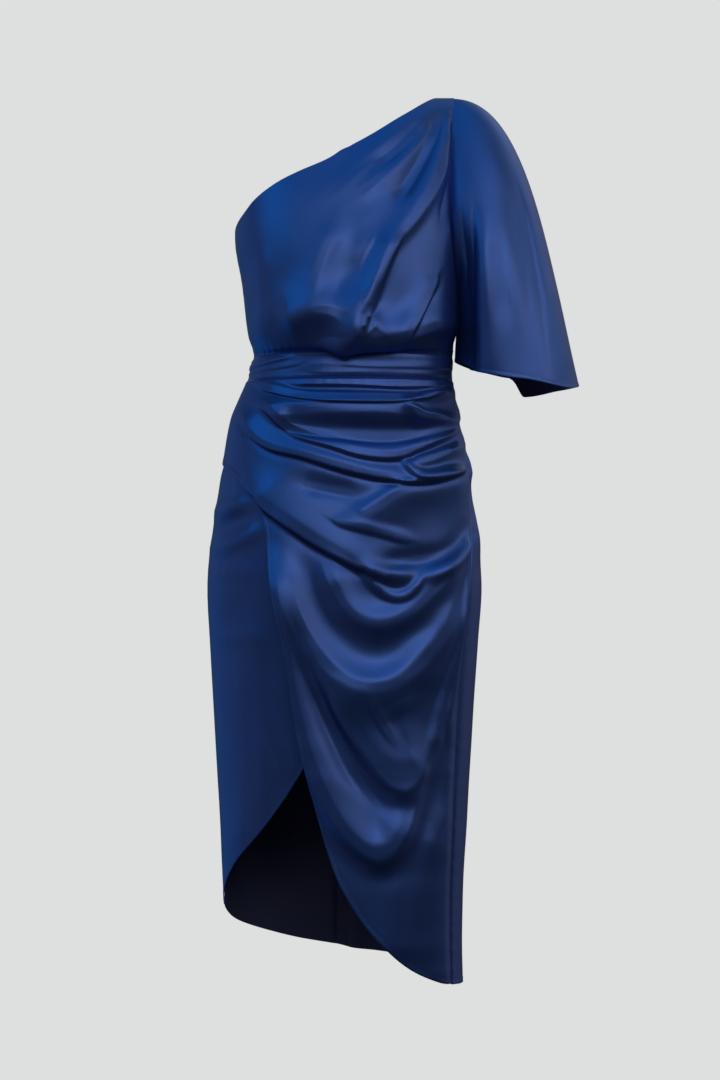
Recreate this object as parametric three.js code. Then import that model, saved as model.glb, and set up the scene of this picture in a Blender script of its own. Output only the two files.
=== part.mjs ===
// One-shoulder wrap dress in satin, midi length, with one wide draped sleeve. It keeps the form it has
// when worn, with no wearer inside: every piece is a cloth wall, and neck, sleeve and hem are open.
// Millimetres, +Z up, the front faces -Y. The origin lies under the one shoulder seam.
// Sections, seams and folds are given from the figure's centre line, which is left of the shoulder.
import * as THREE from 'three';

// Driving sizes
const wall = 1.4;            // thickness of the cloth
const seamGap = 0.3;         // between two pieces at their seam
const shoulderOut = 137;     // from the figure's centre line to the middle of the shoulder seam
const waistTop = -354;       // seam of bodice and waistband
const waistBottom = -384;    // seam of waistband and skirt
const leftSeam = -92;        // angle of the left side seam
const underarmSeam = 88;     // angle of the bodice's right side seam
const wrapLift = 3.4;        // how far the wrap stands off the panel below it
const underDepth = 2.0;      // how far the panel below the wrap lies inside the form
const finestFold = 9;        // narrowest slope that these meshes follow
const foldFade = 30;         // length over which a fold dies out at its ends
const seamFade = 20;         // width over which folds lie flat beside a seam
const wrapLean = 0.2;        // see skirtFrontMap
const wrapSettles = 36;      // width over which the wrap comes down to the left side seam
const gatherAngle = 48;      // angle over which the wrap's folds build up from the left side seam
const steepest = 1.6;        // steepest slope that the wall's thickness allows for
const ventPlace = 0.58;      // where the back vent is across the back skirt panel
const ventSpread = 0.1;      // how much closer the columns are there
const navy = { color: 0x1f3d75, roughness: 0.38, metalness: 0.35 };

// Angles go round the figure in degrees: 0 front, 90 the sleeve side, 180 back, -90 the bare shoulder side.
const rad = Math.PI / 180;

// The form that the dress holds: half widths to the left and right of the centre line, depths to the
// front and back, and how square each section is (2 is an ellipse). Depth is nothing on top of the shoulder.
const sections = [
  { at: 'shoulder seam', z: 0, left: 155, right: 155, front: 0, back: 0, square: 2.8 },
  { at: 'shoulder slope', z: -10, left: 155, right: 155, front: 27, back: 27, square: 2.8 },
  { at: 'collar bone', z: -32, left: 155, right: 155, front: 49, back: 48, square: 2.8 },
  { at: 'upper chest', z: -62, left: 153, right: 155, front: 67, back: 65, square: 2.8 },
  { at: 'armhole middle', z: -102, left: 150, right: 155, front: 84, back: 79, square: 2.75 },
  { at: 'chest', z: -150, left: 148, right: 154, front: 101, back: 90, square: 2.7 },
  { at: 'underarm', z: -200, left: 149, right: 152, front: 113, back: 97, square: 2.6 },
  { at: 'bust', z: -248, left: 141, right: 150, front: 119, back: 99, square: 2.5 },
  { at: 'blouse', z: -300, left: 134, right: 148, front: 119, back: 98, square: 2.4 },
  { at: 'blouse fullest', z: -328, left: 128, right: 147, front: 118, back: 98, square: 2.3 },
  { at: 'blouse edge', z: -345, left: 125, right: 147, front: 111, back: 96, square: 2.25 },
  { at: 'waist seam', z: -354, left: 124, right: 146, front: 100, back: 92, square: 2.2 },
  { at: 'band bottom', z: -384, left: 132, right: 146, front: 100, back: 93, square: 2.2 },
  { at: 'gathers', z: -411, left: 144, right: 150, front: 104, back: 98, square: 2.15 },
  { at: 'high hip', z: -438, left: 155, right: 155, front: 107, back: 105, square: 2.15 },
  { at: 'belly', z: -492, left: 165, right: 166, front: 111, back: 117, square: 2.1 },
  { at: 'seat', z: -574, left: 178, right: 178, front: 113, back: 127, square: 2.1 },
  { at: 'hip', z: -655, left: 187, right: 186, front: 113, back: 129, square: 2.1 },
  { at: 'thigh', z: -737, left: 184, right: 181, front: 112, back: 127, square: 2.1 },
  { at: 'above knee', z: -846, left: 178, right: 174, front: 111, back: 125, square: 2.1 },
  { at: 'knee', z: -982, left: 170, right: 166, front: 111, back: 124, square: 2.1 },
  { at: 'calf', z: -1091, left: 165, right: 160, front: 112, back: 124, square: 2.1 },
  { at: 'hem', z: -1210, left: 161, right: 160, front: 114, back: 125, square: 2.1 },
];

// Seams and free edges. Seen from the front, x goes from the centre line to the sleeve side.
const neckEdge = [
  [-149, -190], [-138, -168], [-120, -148], [-91, -127], [-28, -97], [18, -70], [67, -38], [102, -14],
];
const shoulderNeck = 49;     // angle of the shoulder seam's end at the neck
const underarm = -276;       // height of the armhole's lowest point
const armhole = [            // front half from the shoulder down; the back half mirrors it
  { angle: 70, z: 0 }, { angle: 65, z: -55 }, { angle: 63, z: -125 }, { angle: 68, z: -195 },
  { angle: 78, z: -250 },
];
const rightSeam = [
  { z: -384, angle: 84 }, { z: -465, angle: 80 }, { z: -574, angle: 72 }, { z: -680, angle: 63 },
  { z: -820, angle: 60 }, { z: -1010, angle: 61 }, { z: -1196, angle: 63 },
];
const wrapEdge = [
  [-165, -492], [-148, -512], [-131, -534], [-110, -562], [-97, -627], [-78, -733], [-55, -884],
  [-19, -1022], [14, -1090], [51, -1138], [86, -1169], [122, -1189], [144, -1195],
];
const underEdge = [
  [-165, -1097], [-150, -1036], [-109, -985], [-55, -904], [1, -799], [66, -680], [120, -606], [165, -560],
];
const backHem = [
  { angle: 63, z: -1196 }, { angle: 88, z: -1200 }, { angle: 112, z: -1195 }, { angle: 160, z: -1180 },
  { angle: 176, z: -1176 }, { angle: 184, z: -1170 }, { angle: 205, z: -1158 }, { angle: 235, z: -1134 },
  { angle: 252, z: -1118 }, { angle: 268, z: -1097 },
];

// Folds. Each is a ridge along a path on the front or the back view, rise high, with a slope that is
// over wide on the left of the path's direction and under wide on its right.
const bodiceFolds = [
  {
    fold: 'neck roll', rise: 5, over: 18, under: 16,
    path: [[-80, -144], [1, -110], [62, -68], [112, -24]],
  },
  {
    fold: 'strap fold', rise: 5, over: 18, under: 13,
    path: [[27, -159], [73, -114], [105, -72], [130, -24]],
  },
  {
    fold: 'strap crease', rise: 4, over: 18, under: 11,
    path: [[106, -239], [124, -173], [138, -88], [143, -26]],
  },
  {
    fold: 'bust fold', rise: 4, over: 26, under: 18,
    path: [[-24, -293], [-9, -246], [10, -196], [36, -154]],
  },
  {
    fold: 'deep gather', rise: 8, over: 32, under: 5,
    path: [[2, -352], [32, -301], [44, -259], [76, -183]],
  },
  { fold: 'side gather', rise: 5, over: 24, under: 4, path: [[68, -352], [89, -312], [120, -255]] },
  { fold: 'left roll', rise: 4, over: 16, under: 16, path: [[-95, -335], [-99, -266], [-106, -200]] },
  {
    fold: 'left pouch', rise: 9, over: 32, under: 30,
    path: [[-135, -326], [-85, -320], [-30, -306], [16, -312]],
  },
  {
    fold: 'right pouch', rise: 6, over: 32, under: 16,
    path: [[0, -335], [53, -338], [99, -333], [150, -322]],
  },
];
const bodiceBackFolds = [
  { fold: 'shoulder fold', rise: 5, over: 20, under: 14, path: [[40, -190], [85, -120], [128, -30]] },
  { fold: 'neck roll', rise: 4, over: 16, under: 16, path: [[-70, -140], [20, -98], [112, -26]] },
  { fold: 'long gather', rise: 5, over: 22, under: 12, path: [[-8, -350], [30, -270], [70, -190]] },
  { fold: 'side gather', rise: 4, over: 18, under: 10, path: [[70, -350], [92, -290], [110, -230]] },
  { fold: 'left gather', rise: 4, over: 18, under: 12, path: [[-75, -350], [-62, -290], [-30, -240]] },
  {
    fold: 'pouch', rise: 5, over: 26, under: 18,
    path: [[-118, -326], [-40, -334], [50, -332], [140, -324]],
  },
];
const wrapFolds = [
  {
    fold: 'waist tuck', rise: 4, over: 11, under: 8,
    path: [[-140, -388], [-45, -393], [73, -395], [165, -390]],
  },
  {
    fold: 'second tuck', rise: 4.5, over: 12, under: 5,
    path: [[-150, -394], [-72, -409], [-6, -414], [93, -414], [165, -388]],
  },
  {
    fold: 'hip roll', rise: 9, over: 12, under: 32,
    path: [[-145, -419], [-59, -426], [73, -424], [175, -412]],
  },
  { fold: 'upper knuckle', rise: 4, over: 9, under: 5, path: [[66, -424], [101, -438], [172, -442]] },
  {
    fold: 'bright ridge', rise: 5, over: 21, under: 8,
    path: [[-130, -415], [-72, -458], [1, -489], [70, -496], [172, -448]],
  },
  {
    fold: 'deep tuck', rise: 10, over: 21, under: 5,
    path: [[-165, -412], [-114, -468], [-32, -498], [53, -518], [106, -520], [184, -494]],
  },
  { fold: 'lower knuckle', rise: 4, over: 11, under: 5, path: [[62, -492], [102, -514], [180, -498]] },
  {
    fold: 'hip shade', rise: 6, over: 13, under: 42,
    path: [[-18, -580], [60, -541], [113, -526], [186, -516]],
  },
  {
    fold: 'wrap roll', rise: 11, over: 46, under: 12,
    path: [[-176, -462], [-122, -520], [-59, -576], [1, -620], [53, -658], [112, -652]],
  },
  {
    fold: 'seam scoop', rise: 6, over: 26, under: 11,
    path: [[5, -644], [86, -641], [134, -627], [186, -545]],
  },
  {
    fold: 'upper swag', rise: 9, over: 22, under: 26,
    path: [[-32, -600], [-8, -668], [30, -708], [82, -697], [134, -644], [180, -590]],
  },
  {
    fold: 'middle swag', rise: 12, over: 28, under: 36,
    path: [[-100, -600], [-58, -712], [-14, -772], [44, -794], [90, -768], [140, -702], [184, -610]],
  },
  {
    fold: 'lower swag', rise: 7, over: 44, under: 22,
    path: [[-30, -780], [8, -842], [60, -917], [80, -930], [108, -865], [170, -700]],
  },
  {
    fold: 'edge swag', rise: 10, over: 32, under: 18,
    path: [
      [-92, -660], [-70, -818], [-42, -899], [-10, -962], [46, -1022], [90, -966], [120, -870], [176, -720],
    ],
  },
];
const underFolds = [
  {
    fold: 'upper wrinkle', rise: 2.4, over: 11, under: 16,
    path: [[-186, -575], [-140, -548], [-96, -546]],
  },
  {
    fold: 'middle wrinkle', rise: 2.2, over: 13, under: 13,
    path: [[-186, -616], [-128, -592], [-86, -588]],
  },
  { fold: 'long fall', rise: 3, over: 26, under: 26, path: [[-136, -700], [-122, -850], [-128, -1020]] },
];
const skirtBackFolds = [
  { fold: 'right tuck', rise: 5, over: 16, under: 10, path: [[40, -452], [110, -438], [172, -428]] },
  { fold: 'right drag', rise: 7, over: 22, under: 20, path: [[0, -580], [90, -530], [184, -498]] },
  { fold: 'low drag', rise: 6, over: 30, under: 26, path: [[-40, -720], [60, -660], [186, -590]] },
  { fold: 'left drag', rise: 5, over: 20, under: 16, path: [[-186, -470], [-110, -488], [-50, -530]] },
  { fold: 'left fall', rise: 6, over: 34, under: 34, path: [[-104, -700], [-92, -900], [-98, -1130]] },
  { fold: 'right fall', rise: 6, over: 34, under: 34, path: [[96, -740], [84, -920], [92, -1170]] },
  { fold: 'back vent', rise: 5, over: 11, under: 11, path: [[-4, -1020], [-4, -1120], [-4, -1230]] },
];
const bandFolds = [
  { fold: 'upper pleat', rise: 1.4, over: 9, under: 9, path: [[-170, -364], [0, -366], [190, -363]] },
  { fold: 'lower pleat', rise: 1.2, over: 9, under: 9, path: [[-170, -375], [0, -377], [190, -374]] },
];
const sleeveFolds = [
  {
    fold: 'cap roll', rise: 3, over: 16, under: 16,
    path: [[176, -330], [168, -230], [166, -120], [158, -30]],
  },
  {
    fold: 'front fall', rise: 4, over: 15, under: 11,
    path: [[190, -400], [188, -300], [182, -180], [176, -80]],
  },
  {
    fold: 'outer fall', rise: 4, over: 20, under: 9,
    path: [[246, -400], [238, -290], [222, -180], [206, -70]],
  },
];

// Sleeve: at each angle round its hem, the pull of the cloth where it leaves the armhole and where it
// meets the hem, and the hem's height. 90 is over the arm, -90 the underarm seam.
const sleeveRows = [
  { angle: -90, outX: 7, outY: 0, outZ: -28, downX: 0, downY: 0, downZ: -30, hem: -358 },
  { angle: -45, outX: 15, outY: -24, outZ: -52, downX: 0, downY: 2, downZ: -80, hem: -375 },
  { angle: 0, outX: 36, outY: -44, outZ: -58, downX: 8, downY: -8, downZ: -120, hem: -387 },
  { angle: 45, outX: 82, outY: -34, outZ: -23, downX: 26, downY: -14, downZ: -170, hem: -398 },
  { angle: 90, outX: 100, outY: 0, outZ: -2, downX: 46, downY: 0, downZ: -196, hem: -392 },
  { angle: 135, outX: 82, outY: 34, outZ: -23, downX: 26, downY: 14, downZ: -170, hem: -394 },
  { angle: 180, outX: 36, outY: 44, outZ: -58, downX: 8, downY: 8, downZ: -120, hem: -401 },
  { angle: 225, outX: 15, outY: 24, outZ: -52, downX: 0, downY: 0, downZ: -80, hem: -380 },
];
const sleeveHem = { x: 233.5, halfWidth: 84, halfDepth: 93, square: 2.4 };

// At the back the hem has a corner: it steps up towards the underarm, over width degrees from an angle,
// and comes down to the underarm seam over settles degrees.
const hemCorner = { angle: 172, rise: 26, width: 10, settles: 80 };

// A cubic through a column of numbers: each row's slope is that of the line between its neighbours.
function smoothColumn(at, values, slopeAtStart = null) {
  const last = at.length - 1;
  const slopes = at.map((_, i) => {
    const a = Math.max(i - 1, 0);
    const b = Math.min(i + 1, last);
    return (values[b] - values[a]) / (at[b] - at[a]);
  });
  if (slopeAtStart !== null) slopes[0] = slopeAtStart;
  return (x) => {
    let i = 0;
    while (i < last - 1 && x > at[i + 1]) i += 1;
    const span = at[i + 1] - at[i];
    const t = Math.min(Math.max((x - at[i]) / span, 0), 1);
    const [u, tt] = [1 - t, t * t];
    return values[i] * u * u * (1 + 2 * t) + values[i + 1] * tt * (3 - 2 * t)
      + span * (slopes[i] * t * u * u - slopes[i + 1] * tt * u);
  };
}

const column = (rows, name) => rows.map((row) => row[name]);
const smoothStep = (t) => {
  const k = Math.min(Math.max(t, 0), 1);
  return k * k * (3 - 2 * k);
};

// The run of a section is the length of cloth from the shoulder seam down the front to it.
const runs = [0];
for (let i = 1; i < sections.length; i += 1) {
  const step = Math.hypot(sections[i].front - sections[i - 1].front, sections[i].z - sections[i - 1].z);
  runs.push(runs[i - 1] + step);
}
const atRun = {
  z: smoothColumn(runs, column(sections, 'z'), 0),
  left: smoothColumn(runs, column(sections, 'left'), 0),
  right: smoothColumn(runs, column(sections, 'right'), 0),
  front: smoothColumn(runs, column(sections, 'front')),
  back: smoothColumn(runs, column(sections, 'back')),
  square: smoothColumn(runs, column(sections, 'square'), 0),
};
const runAtZ = (z) => {
  let [low, high] = [0, runs.at(-1)];
  for (let i = 0; i < 40; i += 1) {
    const middle = (low + high) / 2;
    if (atRun.z(middle) > z) low = middle;
    else high = middle;
  }
  return (low + high) / 2;
};

// Point of the form at an angle and a run. Past the shoulder seam it goes on down the other side.
function formPoint(angle, run) {
  const s = Math.abs(run);
  const [sine, cosine] = [Math.sin(angle * rad), Math.cos(angle * rad)];
  const power = 2 / atRun.square(s);
  const width = sine > 0 ? atRun.right(s) : atRun.left(s);
  const depth = cosine > 0 ? atRun.front(s) : atRun.back(s);
  const x = width * Math.sign(sine) * Math.abs(sine) ** power;
  const y = -depth * Math.sign(cosine) * Math.abs(cosine) ** power;
  return new THREE.Vector3(x, run < 0 ? -y : y, atRun.z(s));
}

// Angle of the front of the form where it is x from the centre line, at a run.
function angleAt(x, run) {
  const width = x > 0 ? atRun.right(run) : atRun.left(run);
  const sine = Math.min(Math.abs(x) / width, 1) ** (atRun.square(run) / 2);
  return Math.sign(x) * Math.asin(sine) / rad;
}

// Outward direction of a surface, from its slopes one way and the other.
function outward(surface, a, b, stepA, stepB) {
  const acrossA = surface(a + stepA, b).sub(surface(a - stepA, b));
  const alongB = surface(a, b + stepB).sub(surface(a, b - stepB));
  return alongB.cross(acrossA).normalize();
}

// Edges in the form's own measures, angle and run, as points for a smooth curve.
const frontEdge = (points) => points.map(([x, z]) => {
  const run = runAtZ(z);
  return new THREE.Vector2(angleAt(x, run), run);
});
const seamEdge = (rows) => rows.map((row) => new THREE.Vector2(row.angle, runAtZ(row.z)));
const smoothEdge = (points) => {
  const curve = new THREE.SplineCurve(points);
  curve.arcLengthDivisions = 400;
  return (t) => curve.getPointAt(Math.min(Math.max(t, 0), 1));
};
const straightEdge = (from, to) => (t) => from.clone().lerp(to, t);
const joinedEdge = (first, second, share) => (t) => (
  t < share ? first(t / share) : second((t - share) / (1 - share)));

// A panel's points between its four edges, each an edge from left to right or from top to bottom.
function panelMap({ top, bottom, left, right }) {
  const corner = [top(0), top(1), bottom(0), bottom(1)];
  const mix = (name, u, v) => {
    const ruled = (1 - v) * top(u)[name] + v * bottom(u)[name] + (1 - u) * left(v)[name] + u * right(v)[name];
    const upper = (1 - u) * corner[0][name] + u * corner[1][name];
    const lower = (1 - u) * corner[2][name] + u * corner[3][name];
    return ruled - (1 - v) * upper - v * lower;
  };
  return (u, v) => [mix('x', u, v), mix('y', u, v)];
}

// Height of a set of folds at a point of the front or back view.
function readyFolds(folds) {
  return folds.map(({ rise, over, under, path }) => {
    const curve = new THREE.SplineCurve(path.map(([x, z]) => new THREE.Vector2(x, z)));
    return { rise, over, under, points: curve.getPoints(8 * (path.length - 1)), length: curve.getLength() };
  });
}
function foldHeight(folds, x, z) {
  let height = 0;
  for (const { rise, over, under, points, length } of folds) {
    let [nearest, side, along, passed] = [Infinity, 0, 0, 0];
    for (let i = 1; i < points.length; i += 1) {
      const [ax, az] = [points[i - 1].x, points[i - 1].y];
      const [dx, dz] = [points[i].x - ax, points[i].y - az];
      const step = Math.hypot(dx, dz);
      const t = Math.min(Math.max(((x - ax) * dx + (z - az) * dz) / (step * step), 0), 1);
      const [gapX, gapZ] = [x - ax - t * dx, z - az - t * dz];
      const away = Math.hypot(gapX, gapZ);
      if (away < nearest) {
        [nearest, side, along] = [away, dx * gapZ - dz * gapX, passed + t * step];
      }
      passed += step;
    }
    const slope = Math.max(side > 0 ? over : under, finestFold);
    const ends = smoothStep(along / foldFade) * smoothStep((length - along) / foldFade);
    height += rise * ends * Math.exp(-((nearest / slope) ** 2));
  }
  return height;
}

// A closed wall from rows of outer and inner points. A tube's columns close on themselves.
function wallMesh(name, outer, inner, tube = false) {
  const rows = outer.length;
  const columns = outer[0].length;
  const positions = [];
  for (const row of [...outer, ...inner]) for (const p of row) positions.push(p.x, p.y, p.z);
  const id = (layer, row, col) => (layer * rows + row) * columns + (col % columns);
  const index = [];
  const quad = (a, b, c, d) => index.push(a, b, c, a, c, d);
  const lastColumn = tube ? columns : columns - 1;
  for (let j = 0; j < rows - 1; j += 1) {
    for (let i = 0; i < lastColumn; i += 1) {
      quad(id(0, j, i), id(0, j + 1, i), id(0, j + 1, i + 1), id(0, j, i + 1));
      quad(id(1, j, i), id(1, j, i + 1), id(1, j + 1, i + 1), id(1, j + 1, i));
    }
  }
  for (let i = 0; i < lastColumn; i += 1) {
    quad(id(0, 0, i), id(0, 0, i + 1), id(1, 0, i + 1), id(1, 0, i));
    quad(id(0, rows - 1, i + 1), id(0, rows - 1, i), id(1, rows - 1, i), id(1, rows - 1, i + 1));
  }
  if (!tube) {
    for (let j = 0; j < rows - 1; j += 1) {
      quad(id(0, j + 1, 0), id(0, j, 0), id(1, j, 0), id(1, j + 1, 0));
      quad(id(0, j, columns - 1), id(0, j + 1, columns - 1), id(1, j + 1, columns - 1), id(1, j, columns - 1));
    }
  }
  const geometry = new THREE.BufferGeometry();
  geometry.setAttribute('position', new THREE.Float32BufferAttribute(positions, 3));
  geometry.setIndex(index);
  geometry.computeVertexNormals();
  const mesh = new THREE.Mesh(geometry, new THREE.MeshStandardMaterial(navy));
  mesh.name = name;
  return mesh;
}

// A wall over a surface: the outer face stands height off it and the inner face is one cloth thickness
// in, measured square to the cloth, so it lies deeper below the slope of a fold.
function clothWall(name, surface, grid, steps, height, tube = false) {
  const [stepA, stepB] = steps;
  const outer = [];
  const inner = [];
  for (const row of grid) {
    outer.push([]);
    inner.push([]);
    for (const [a, b] of row) {
      const point = surface(a, b);
      const [pointA, pointB] = [surface(a + stepA, b), surface(a, b + stepB)];
      const rise = height(point, a, b);
      const slopeA = (height(pointA, a + stepA, b) - rise) / pointA.distanceTo(point);
      const slopeB = (height(pointB, a, b + stepB) - rise) / pointB.distanceTo(point);
      const depth = wall * Math.sqrt(1 + Math.min(slopeA ** 2 + slopeB ** 2, steepest ** 2));
      const normal = outward(surface, a, b, stepA, stepB);
      outer.at(-1).push(point.clone().addScaledVector(normal, rise));
      inner.at(-1).push(point.clone().addScaledVector(normal, rise - depth));
    }
  }
  return wallMesh(name, outer, inner, tube);
}

// Rows of places on a panel, from the top edge to the bottom one.
function panelGrid(map, columns, rows, spread = (u) => u) {
  return Array.from({ length: rows + 1 }, (_, j) => (
    Array.from({ length: columns + 1 }, (__, i) => map(spread(i / columns), j / rows))));
}

// How flat a fold lies near a seam that is away from it, in degrees round the form: 0 at the seam.
const besideSeam = (away, width = seamFade) => smoothStep(away * rad * 140 / width);

const at = (angle, run) => new THREE.Vector2(angle, run);
const halfGap = seamGap / 2;
const angleGap = halfGap / 125 / rad;
const formSteps = [0.3, 0.4];
const bandTopRun = runAtZ(waistTop);
const bandBottomRun = runAtZ(waistBottom);
const seamAngle = smoothColumn(column(rightSeam, 'z').map(runAtZ), column(rightSeam, 'angle'));

// The armhole from the shoulder seam down to the underarm, which is at an angle of its own on each side.
const armholeEdge = (underarmAngle) => smoothEdge([
  ...seamEdge(armhole), at(underarmAngle, runAtZ(underarm)),
]);

// Bodice: the neckline rises from the bare side's seam to the shoulder seam, the armhole and the side
// seam are on the right, and the waist seam is below.
function bodiceMap(leftAngle, rightAngle) {
  const edge = armholeEdge(rightAngle);
  const armholeSide = (t) => at(edge(t).x - angleGap, Math.max(edge(t).y, halfGap));
  const topLeft = at(leftAngle + angleGap, runAtZ(neckEdge[0][1]));
  const bottomLeft = at(leftAngle + angleGap, bandTopRun - halfGap);
  const bottomRight = at(rightAngle - angleGap, bandTopRun - halfGap);
  const neckEnd = at(shoulderNeck, halfGap);
  const neck = smoothEdge([topLeft, ...frontEdge(neckEdge.slice(1)), neckEnd]);
  return panelMap({
    top: joinedEdge(neck, straightEdge(neckEnd, armholeSide(0)), 0.74),
    bottom: straightEdge(bottomLeft, bottomRight),
    left: straightEdge(topLeft, bottomLeft),
    right: joinedEdge(armholeSide, straightEdge(armholeSide(1), bottomRight), 0.78),
  });
}

// The angle of the armhole, and below it of the side seam, at a run.
const sideAngle = smoothColumn(
  [...column(armhole, 'z'), underarm, waistTop].map(runAtZ),
  [...column(armhole, 'angle'), underarmSeam, underarmSeam],
);

function bodiceWall(name, folds, map, columns, rows, insideLeft, insideRight) {
  const ready = readyFolds(folds);
  const height = (p, angle, run) => foldHeight(ready, p.x, p.z)
    * besideSeam(insideLeft(angle, run)) * besideSeam(insideRight(angle, run))
    * smoothStep((bandTopRun - run) / 12) * smoothStep(run / 16);
  return clothWall(name, formPoint, panelGrid(map, columns, rows), formSteps, height);
}

function bodiceFront() {
  const map = bodiceMap(leftSeam, underarmSeam);
  const insideLeft = (angle) => angle - leftSeam;
  const insideRight = (angle, run) => sideAngle(run) - angle;
  return bodiceWall('bodice_front', bodiceFolds, map, 26, 17, insideLeft, insideRight);
}

// The back bodice has the front's edges, turned over from front to back.
function bodiceBack() {
  const map = bodiceMap(-180 - leftSeam, 180 - underarmSeam);
  const turned = (u, v) => {
    const [angle, run] = map(1 - u, v);
    return [180 - angle, run];
  };
  const insideLeft = (angle, run) => angle - Math.max(180 - sideAngle(run), underarmSeam);
  const insideRight = (angle) => 360 + leftSeam - angle;
  return bodiceWall('bodice_back', bodiceBackFolds, turned, 20, 13, insideLeft, insideRight);
}

function waistband() {
  const folds = readyFolds(bandFolds);
  const [columns, rows] = [40, 3];
  const grid = Array.from({ length: rows + 1 }, (_, j) => (
    Array.from({ length: columns }, (__, i) => (
      [i * 360 / columns, bandTopRun + halfGap + (bandBottomRun - bandTopRun - seamGap) * j / rows]))));
  const height = (p, angle, run) => foldHeight(folds, p.x, p.z)
    * smoothStep((run - bandTopRun) / 5) * smoothStep((bandBottomRun - run) / 5);
  return clothWall('waistband', formPoint, grid, formSteps, height, true);
}

// The right side seam from the waist down to a height, a little to one side of it.
const rightSeamEdge = (bottomZ, aside) => {
  const [top, bottom] = [bandBottomRun + halfGap, runAtZ(bottomZ)];
  return (t) => {
    const run = top + (bottom - top) * t;
    return at(seamAngle(run) + aside, run);
  };
};

// A front skirt panel from the waist down to its free edge, which runs from side seam to side seam.
// lean moves its columns to the right at the waist and back at the edge, so that they stay inside an
// edge that turns.
function skirtFrontMap(edge, lean) {
  const right = rightSeamEdge(edge.at(-1)[1], -1.6 * angleGap);
  const topLeft = at(leftSeam + angleGap, bandBottomRun + halfGap);
  const bottomLeft = at(leftSeam + angleGap, runAtZ(edge[0][1]));
  const waist = straightEdge(topLeft, right(0));
  const hem = smoothEdge([bottomLeft, ...frontEdge(edge.slice(1, -1)), right(1)]);
  return panelMap({
    top: (t) => waist(t ** (1 - lean)),
    bottom: (t) => hem(t ** (1 + lean)),
    left: straightEdge(topLeft, bottomLeft),
    right,
  });
}

function skirtFrontOver() {
  const folds = readyFolds(wrapFolds);
  const height = (p, angle, run) => {
    const gathered = smoothStep((angle - leftSeam) / gatherAngle);
    return (wrapLift + foldHeight(folds, p.x, p.z) * gathered)
      * besideSeam(angle - leftSeam, wrapSettles) * besideSeam(seamAngle(run) - angle)
      * smoothStep((run - bandBottomRun) / 10);
  };
  const grid = panelGrid(skirtFrontMap(wrapEdge, wrapLean), 38, 30);
  return clothWall('skirt_front_over', formPoint, grid, formSteps, height);
}

// The panel below the wrap lies inside it, and comes out to the form where it shows beside the seam.
function skirtFrontUnder() {
  const folds = readyFolds(underFolds);
  const height = (p, angle, run) => {
    const shows = smoothStep((run - runAtZ(wrapEdge[0][1])) / 70) * smoothStep((leftSeam + 30 - angle) / 24);
    const flat = besideSeam(angle - leftSeam) * besideSeam(seamAngle(run) - angle);
    return -underDepth * (1 - shows) + foldHeight(folds, p.x, p.z) * flat;
  };
  const grid = panelGrid(skirtFrontMap(underEdge, 0), 20, 15);
  return clothWall('skirt_front_under', formPoint, grid, formSteps, height);
}

// The back panel goes round from the right side seam to the left one, with a soft vent at its middle.
function skirtBack() {
  const folds = readyFolds(skirtBackFolds);
  const left = rightSeamEdge(backHem[0].z, 1.6 * angleGap);
  const farSeam = 360 + leftSeam - angleGap;
  const topRight = at(farSeam, bandBottomRun + halfGap);
  const bottomRight = at(farSeam, runAtZ(backHem.at(-1).z));
  const map = panelMap({
    top: straightEdge(left(0), topRight),
    bottom: smoothEdge([left(1), ...seamEdge(backHem.slice(1, -1)), bottomRight]),
    left,
    right: straightEdge(topRight, bottomRight),
  });
  const height = (p, angle, run) => foldHeight(folds, p.x, p.z)
    * besideSeam(angle - seamAngle(run)) * besideSeam(farSeam - angle)
    * smoothStep((run - bandBottomRun) / 12);
  const towardsVent = (u) => u + ventSpread * Math.sin(2 * Math.PI * (u - ventPlace + 0.5));
  const [first, last] = [towardsVent(0), towardsVent(1)];
  const spread = (u) => (towardsVent(u) - first) / (last - first);
  return clothWall('skirt_back', formPoint, panelGrid(map, 30, 15, spread), formSteps, height);
}

// Sleeve: a tube whose rows are sleeveRows, each a curve from the armhole to the hem.
const sleeveAngles = [-180, -135, ...column(sleeveRows, 'angle'), 270, 315];
const sleeveColumn = (name) => {
  const values = column(sleeveRows, name);
  return smoothColumn(sleeveAngles, [...values.slice(-2), ...values, ...values.slice(0, 2)]);
};
const sleeve = Object.fromEntries(
  ['outX', 'outY', 'outZ', 'downX', 'downY', 'downZ', 'hem'].map((name) => [name, sleeveColumn(name)]));
const sleeveHemHeight = (angle) => sleeve.hem(angle)
  + hemCorner.rise * smoothStep((angle - hemCorner.angle) / hemCorner.width)
  * smoothStep((270 - angle) / hemCorner.settles);
const frontArmhole = armholeEdge(underarmSeam);
const backArmhole = armholeEdge(180 - underarmSeam);

function armholePoint(angle) {
  const front = angle <= 90;
  const edge = (front ? frontArmhole : backArmhole)(Math.abs(90 - angle) / 180);
  const aside = edge.x + 2.5 * angleGap;
  const around = front ? aside : 180 - aside;
  const proud = outward(formPoint, around, edge.y, ...formSteps).multiplyScalar(seamGap);
  return formPoint(around, edge.y).add(proud);
}

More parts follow.
